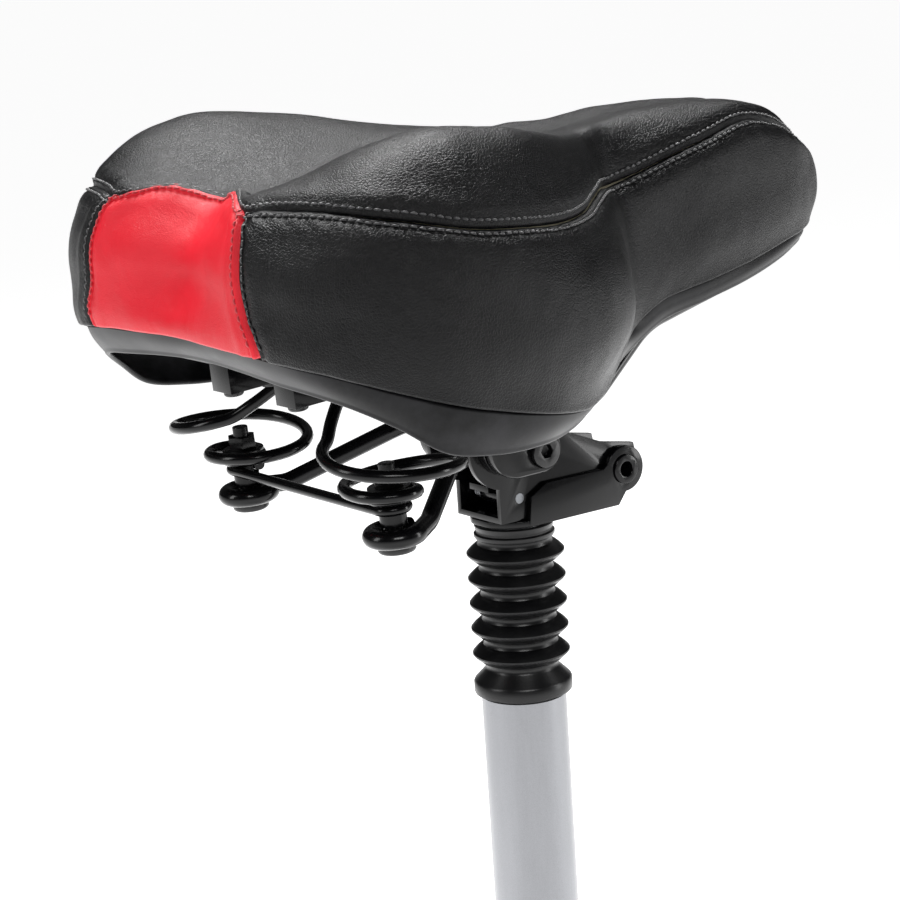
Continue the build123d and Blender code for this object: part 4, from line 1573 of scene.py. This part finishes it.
@dataclass
class Metalwork:
    """Pressed, turned and forged steel pieces, with the soft edges of the real ones."""

    rounding: tuple[tuple[str, float], ...] = (
        ("lower_bracket", 0.7), ("upper_bracket", 0.7), ("pivot_rivet", 0.45),
        ("inner_cheek_left", 0.6), ("inner_cheek_right", 0.6), ("outer_cheek_left", 0.6),
        ("outer_cheek_right", 0.6), ("clamp_bolt", 0.5), ("clamp_nut", 0.5),
        ("spring_nuts", 0.5), ("spring_washers", 0.3), ("spring_bolts", 0.3),
        ("nose_hook", 0.6), ("spring_anchor_left", 0.8), ("spring_anchor_right", 0.8),
        ("latch_lever", 0.5),
    )
    segments: int = 3
    sharp: float = 28.0

    def body_of(self, node: str) -> str:
        """Name of the CAD body that holds a node."""
        bodies = frame["record"]["behaviour"]["bodies"]
        return next(body for body, nodes in bodies.items() if node in nodes)

    def build(self, finishes: dict[str, bpy.types.Material], slots: dict[str, str]) -> None:
        """Copy each node, join its faces and round its sharp edges.

        Args:
            finishes: Materials by slot name.
            slots: Slot name of each node.
        """
        for node, radius in self.rounding:
            piece = copied(node, node + "_finished")
            select_only(piece)
            bpy.ops.object.mode_set(mode="EDIT")
            bpy.ops.mesh.select_all(action="SELECT")
            bpy.ops.mesh.remove_doubles(threshold=1e-6)
            bpy.ops.mesh.dissolve_limited(angle_limit=math.radians(0.5))
            bpy.ops.object.mode_set(mode="OBJECT")
            apply_modifier(piece, "BEVEL", width=radius * MM, segments=self.segments,
                           limit_method="ANGLE", angle_limit=math.radians(self.sharp),
                           harden_normals=False)
            bpy.ops.object.shade_smooth_by_angle(angle=math.radians(self.sharp))
            dress(piece, finishes[slots[node]])
            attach(piece, self.body_of(node))
            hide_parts(node)
        log.info("%d metal pieces rounded", len(self.rounding))


@dataclass(frozen=True)
class Studio:
    """Camera, floor and soft lights."""

    azimuth: float = -35.29
    elevation: float = 12.44
    roll: float = 3.81
    distance_mm: float = 1011.4
    aim_across_mm: float = 24.87
    aim_up_mm: float = -26.69
    sensor_mm: float = 36.0
    lens_mm: float = 103.0
    target_height: float = 0.40
    floor_glow: float = 0.92
    backdrop_strength: float = 1.15
    fill_strength: float = 0.05

    def axes(self) -> tuple[Vector, Vector, Vector]:
        """The camera's own directions.

        Returns:
            Unit vectors to its right, up and backwards.
        """
        a, e, r = (math.radians(v) for v in (self.azimuth, self.elevation, self.roll))
        back = Vector((math.sin(a) * math.cos(e), -math.cos(a) * math.cos(e), math.sin(e)))
        right = Vector((math.cos(a), math.sin(a), 0.0))
        up = back.cross(right)
        return (right * math.cos(r) - up * math.sin(r),
                right * math.sin(r) + up * math.cos(r), back)

    def camera(self) -> None:
        """Place the camera so that it looks past the lower bracket."""
        right, up, back = self.axes()
        base = Vector((0.0, 0.0, SADDLE.base_height()))
        place = base + (back * self.distance_mm - right * self.aim_across_mm
                        - up * self.aim_up_mm) * MM
        data = bpy.data.cameras.new("camera")
        data.sensor_width = self.sensor_mm
        data.lens = self.lens_mm
        data.clip_end = 20.0
        eye = bpy.data.objects.new("camera", data)
        turn = Matrix((right, up, back)).transposed().to_4x4()
        eye.matrix_world = Matrix.Translation(place) @ turn
        bpy.context.scene.collection.objects.link(eye)
        bpy.context.scene.camera = eye

    def lamp(self, name: str, place: tuple[float, float, float], size: tuple[float, float],
             power: float) -> None:
        """A soft rectangular lamp that faces the saddle.

        Args:
            name: The lamp's name.
            place: Where it stands, in metres.
            size: Its width and height, in metres.
            power: Its power in watts.
        """
        data = bpy.data.lights.new(name, "AREA")
        data.shape = "RECTANGLE"
        data.size, data.size_y = size
        data.energy = power
        lamp = bpy.data.objects.new(name, data)
        aim = Vector((0.0, 0.0, self.target_height)) - Vector(place)
        turn = aim.to_track_quat("-Z", "Y").to_matrix().to_4x4()
        lamp.matrix_world = Matrix.Translation(place) @ turn
        bpy.context.scene.collection.objects.link(lamp)

    def floor(self) -> None:
        """A wide pale floor, bright enough to read as white."""
        bpy.ops.object.select_all(action="DESELECT")
        bpy.ops.mesh.primitive_plane_add(size=60.0, location=(0.0, 0.0, -0.002))
        floor = bpy.context.object
        floor.name = "studio_floor"
        bpy.ops.object.transform_apply(location=True, rotation=True, scale=True)
        material = bpy.data.materials.new("matt_studio_floor")
        material.use_nodes = True
        shader = material.node_tree.nodes["Principled BSDF"]
        shader.inputs["Base Color"].default_value = linear("F2F2F2")
        shader.inputs["Roughness"].default_value = 0.9
        shader.inputs["Emission Color"].default_value = linear("FFFFFF")
        shader.inputs["Emission Strength"].default_value = self.floor_glow
        dress(floor, material)

    def world(self) -> None:
        """White to the camera, and a softer grey to every surface."""
        world = bpy.data.worlds.new("studio")
        world.use_nodes = True
        tree = world.node_tree
        tree.nodes.clear()
        white = linear("FFFFFF")
        seen = add_node(tree, "Background", {"Color": white, "Strength": self.backdrop_strength})
        lit = add_node(tree, "Background", {"Color": white, "Strength": self.fill_strength})
        path = add_node(tree, "LightPath")
        mix = add_node(tree, "MixShader", links={
            0: path.outputs["Is Camera Ray"], 1: lit.outputs[0], 2: seen.outputs[0],
        })
        add_node(tree, "OutputWorld", links={"Surface": mix.outputs[0]})
        bpy.context.scene.world = world

    def build(self) -> None:
        """Set up the camera, the floor, the lamps and the world."""
        self.camera()
        self.floor()
        self.world()
        self.lamp("overhead_softbox", (0.10, 0.45, 1.35), (1.1, 0.35), 32.0)
        self.lamp("rear_right_softbox", (-0.65, -1.3, 1.25), (0.8, 0.45), 13.0)
        self.lamp("rear_left_softbox", (-1.4, 0.35, 0.9), (0.4, 0.8), 7.0)
        self.lamp("front_rim_strip", (1.1, -0.9, 0.6), (0.25, 1.0), 8.0)
        bpy.context.scene.view_settings.view_transform = "Standard"


def main() -> None:
    """Build the looks piece by piece around the frame."""
    logging.basicConfig(level=logging.INFO, format="%(message)s")
    finishes = make_finishes()
    slots = {s["node"]: s["material_slot"] for s in frame["record"]["subparts"]}
    for node, piece in frame["nodes"].items():
        dress(piece, finishes[slots[node]])
    Cover().build(finishes)
    Cushion().build(finishes)
    Pan().build(finishes)
    for side in Side:
        RearSpring().build(side, finishes)
    Bellows().build(finishes)
    PostSpring().build(finishes)
    Metalwork().build(finishes, slots)
    Studio().build()


if __name__ == "__main__":
    main()
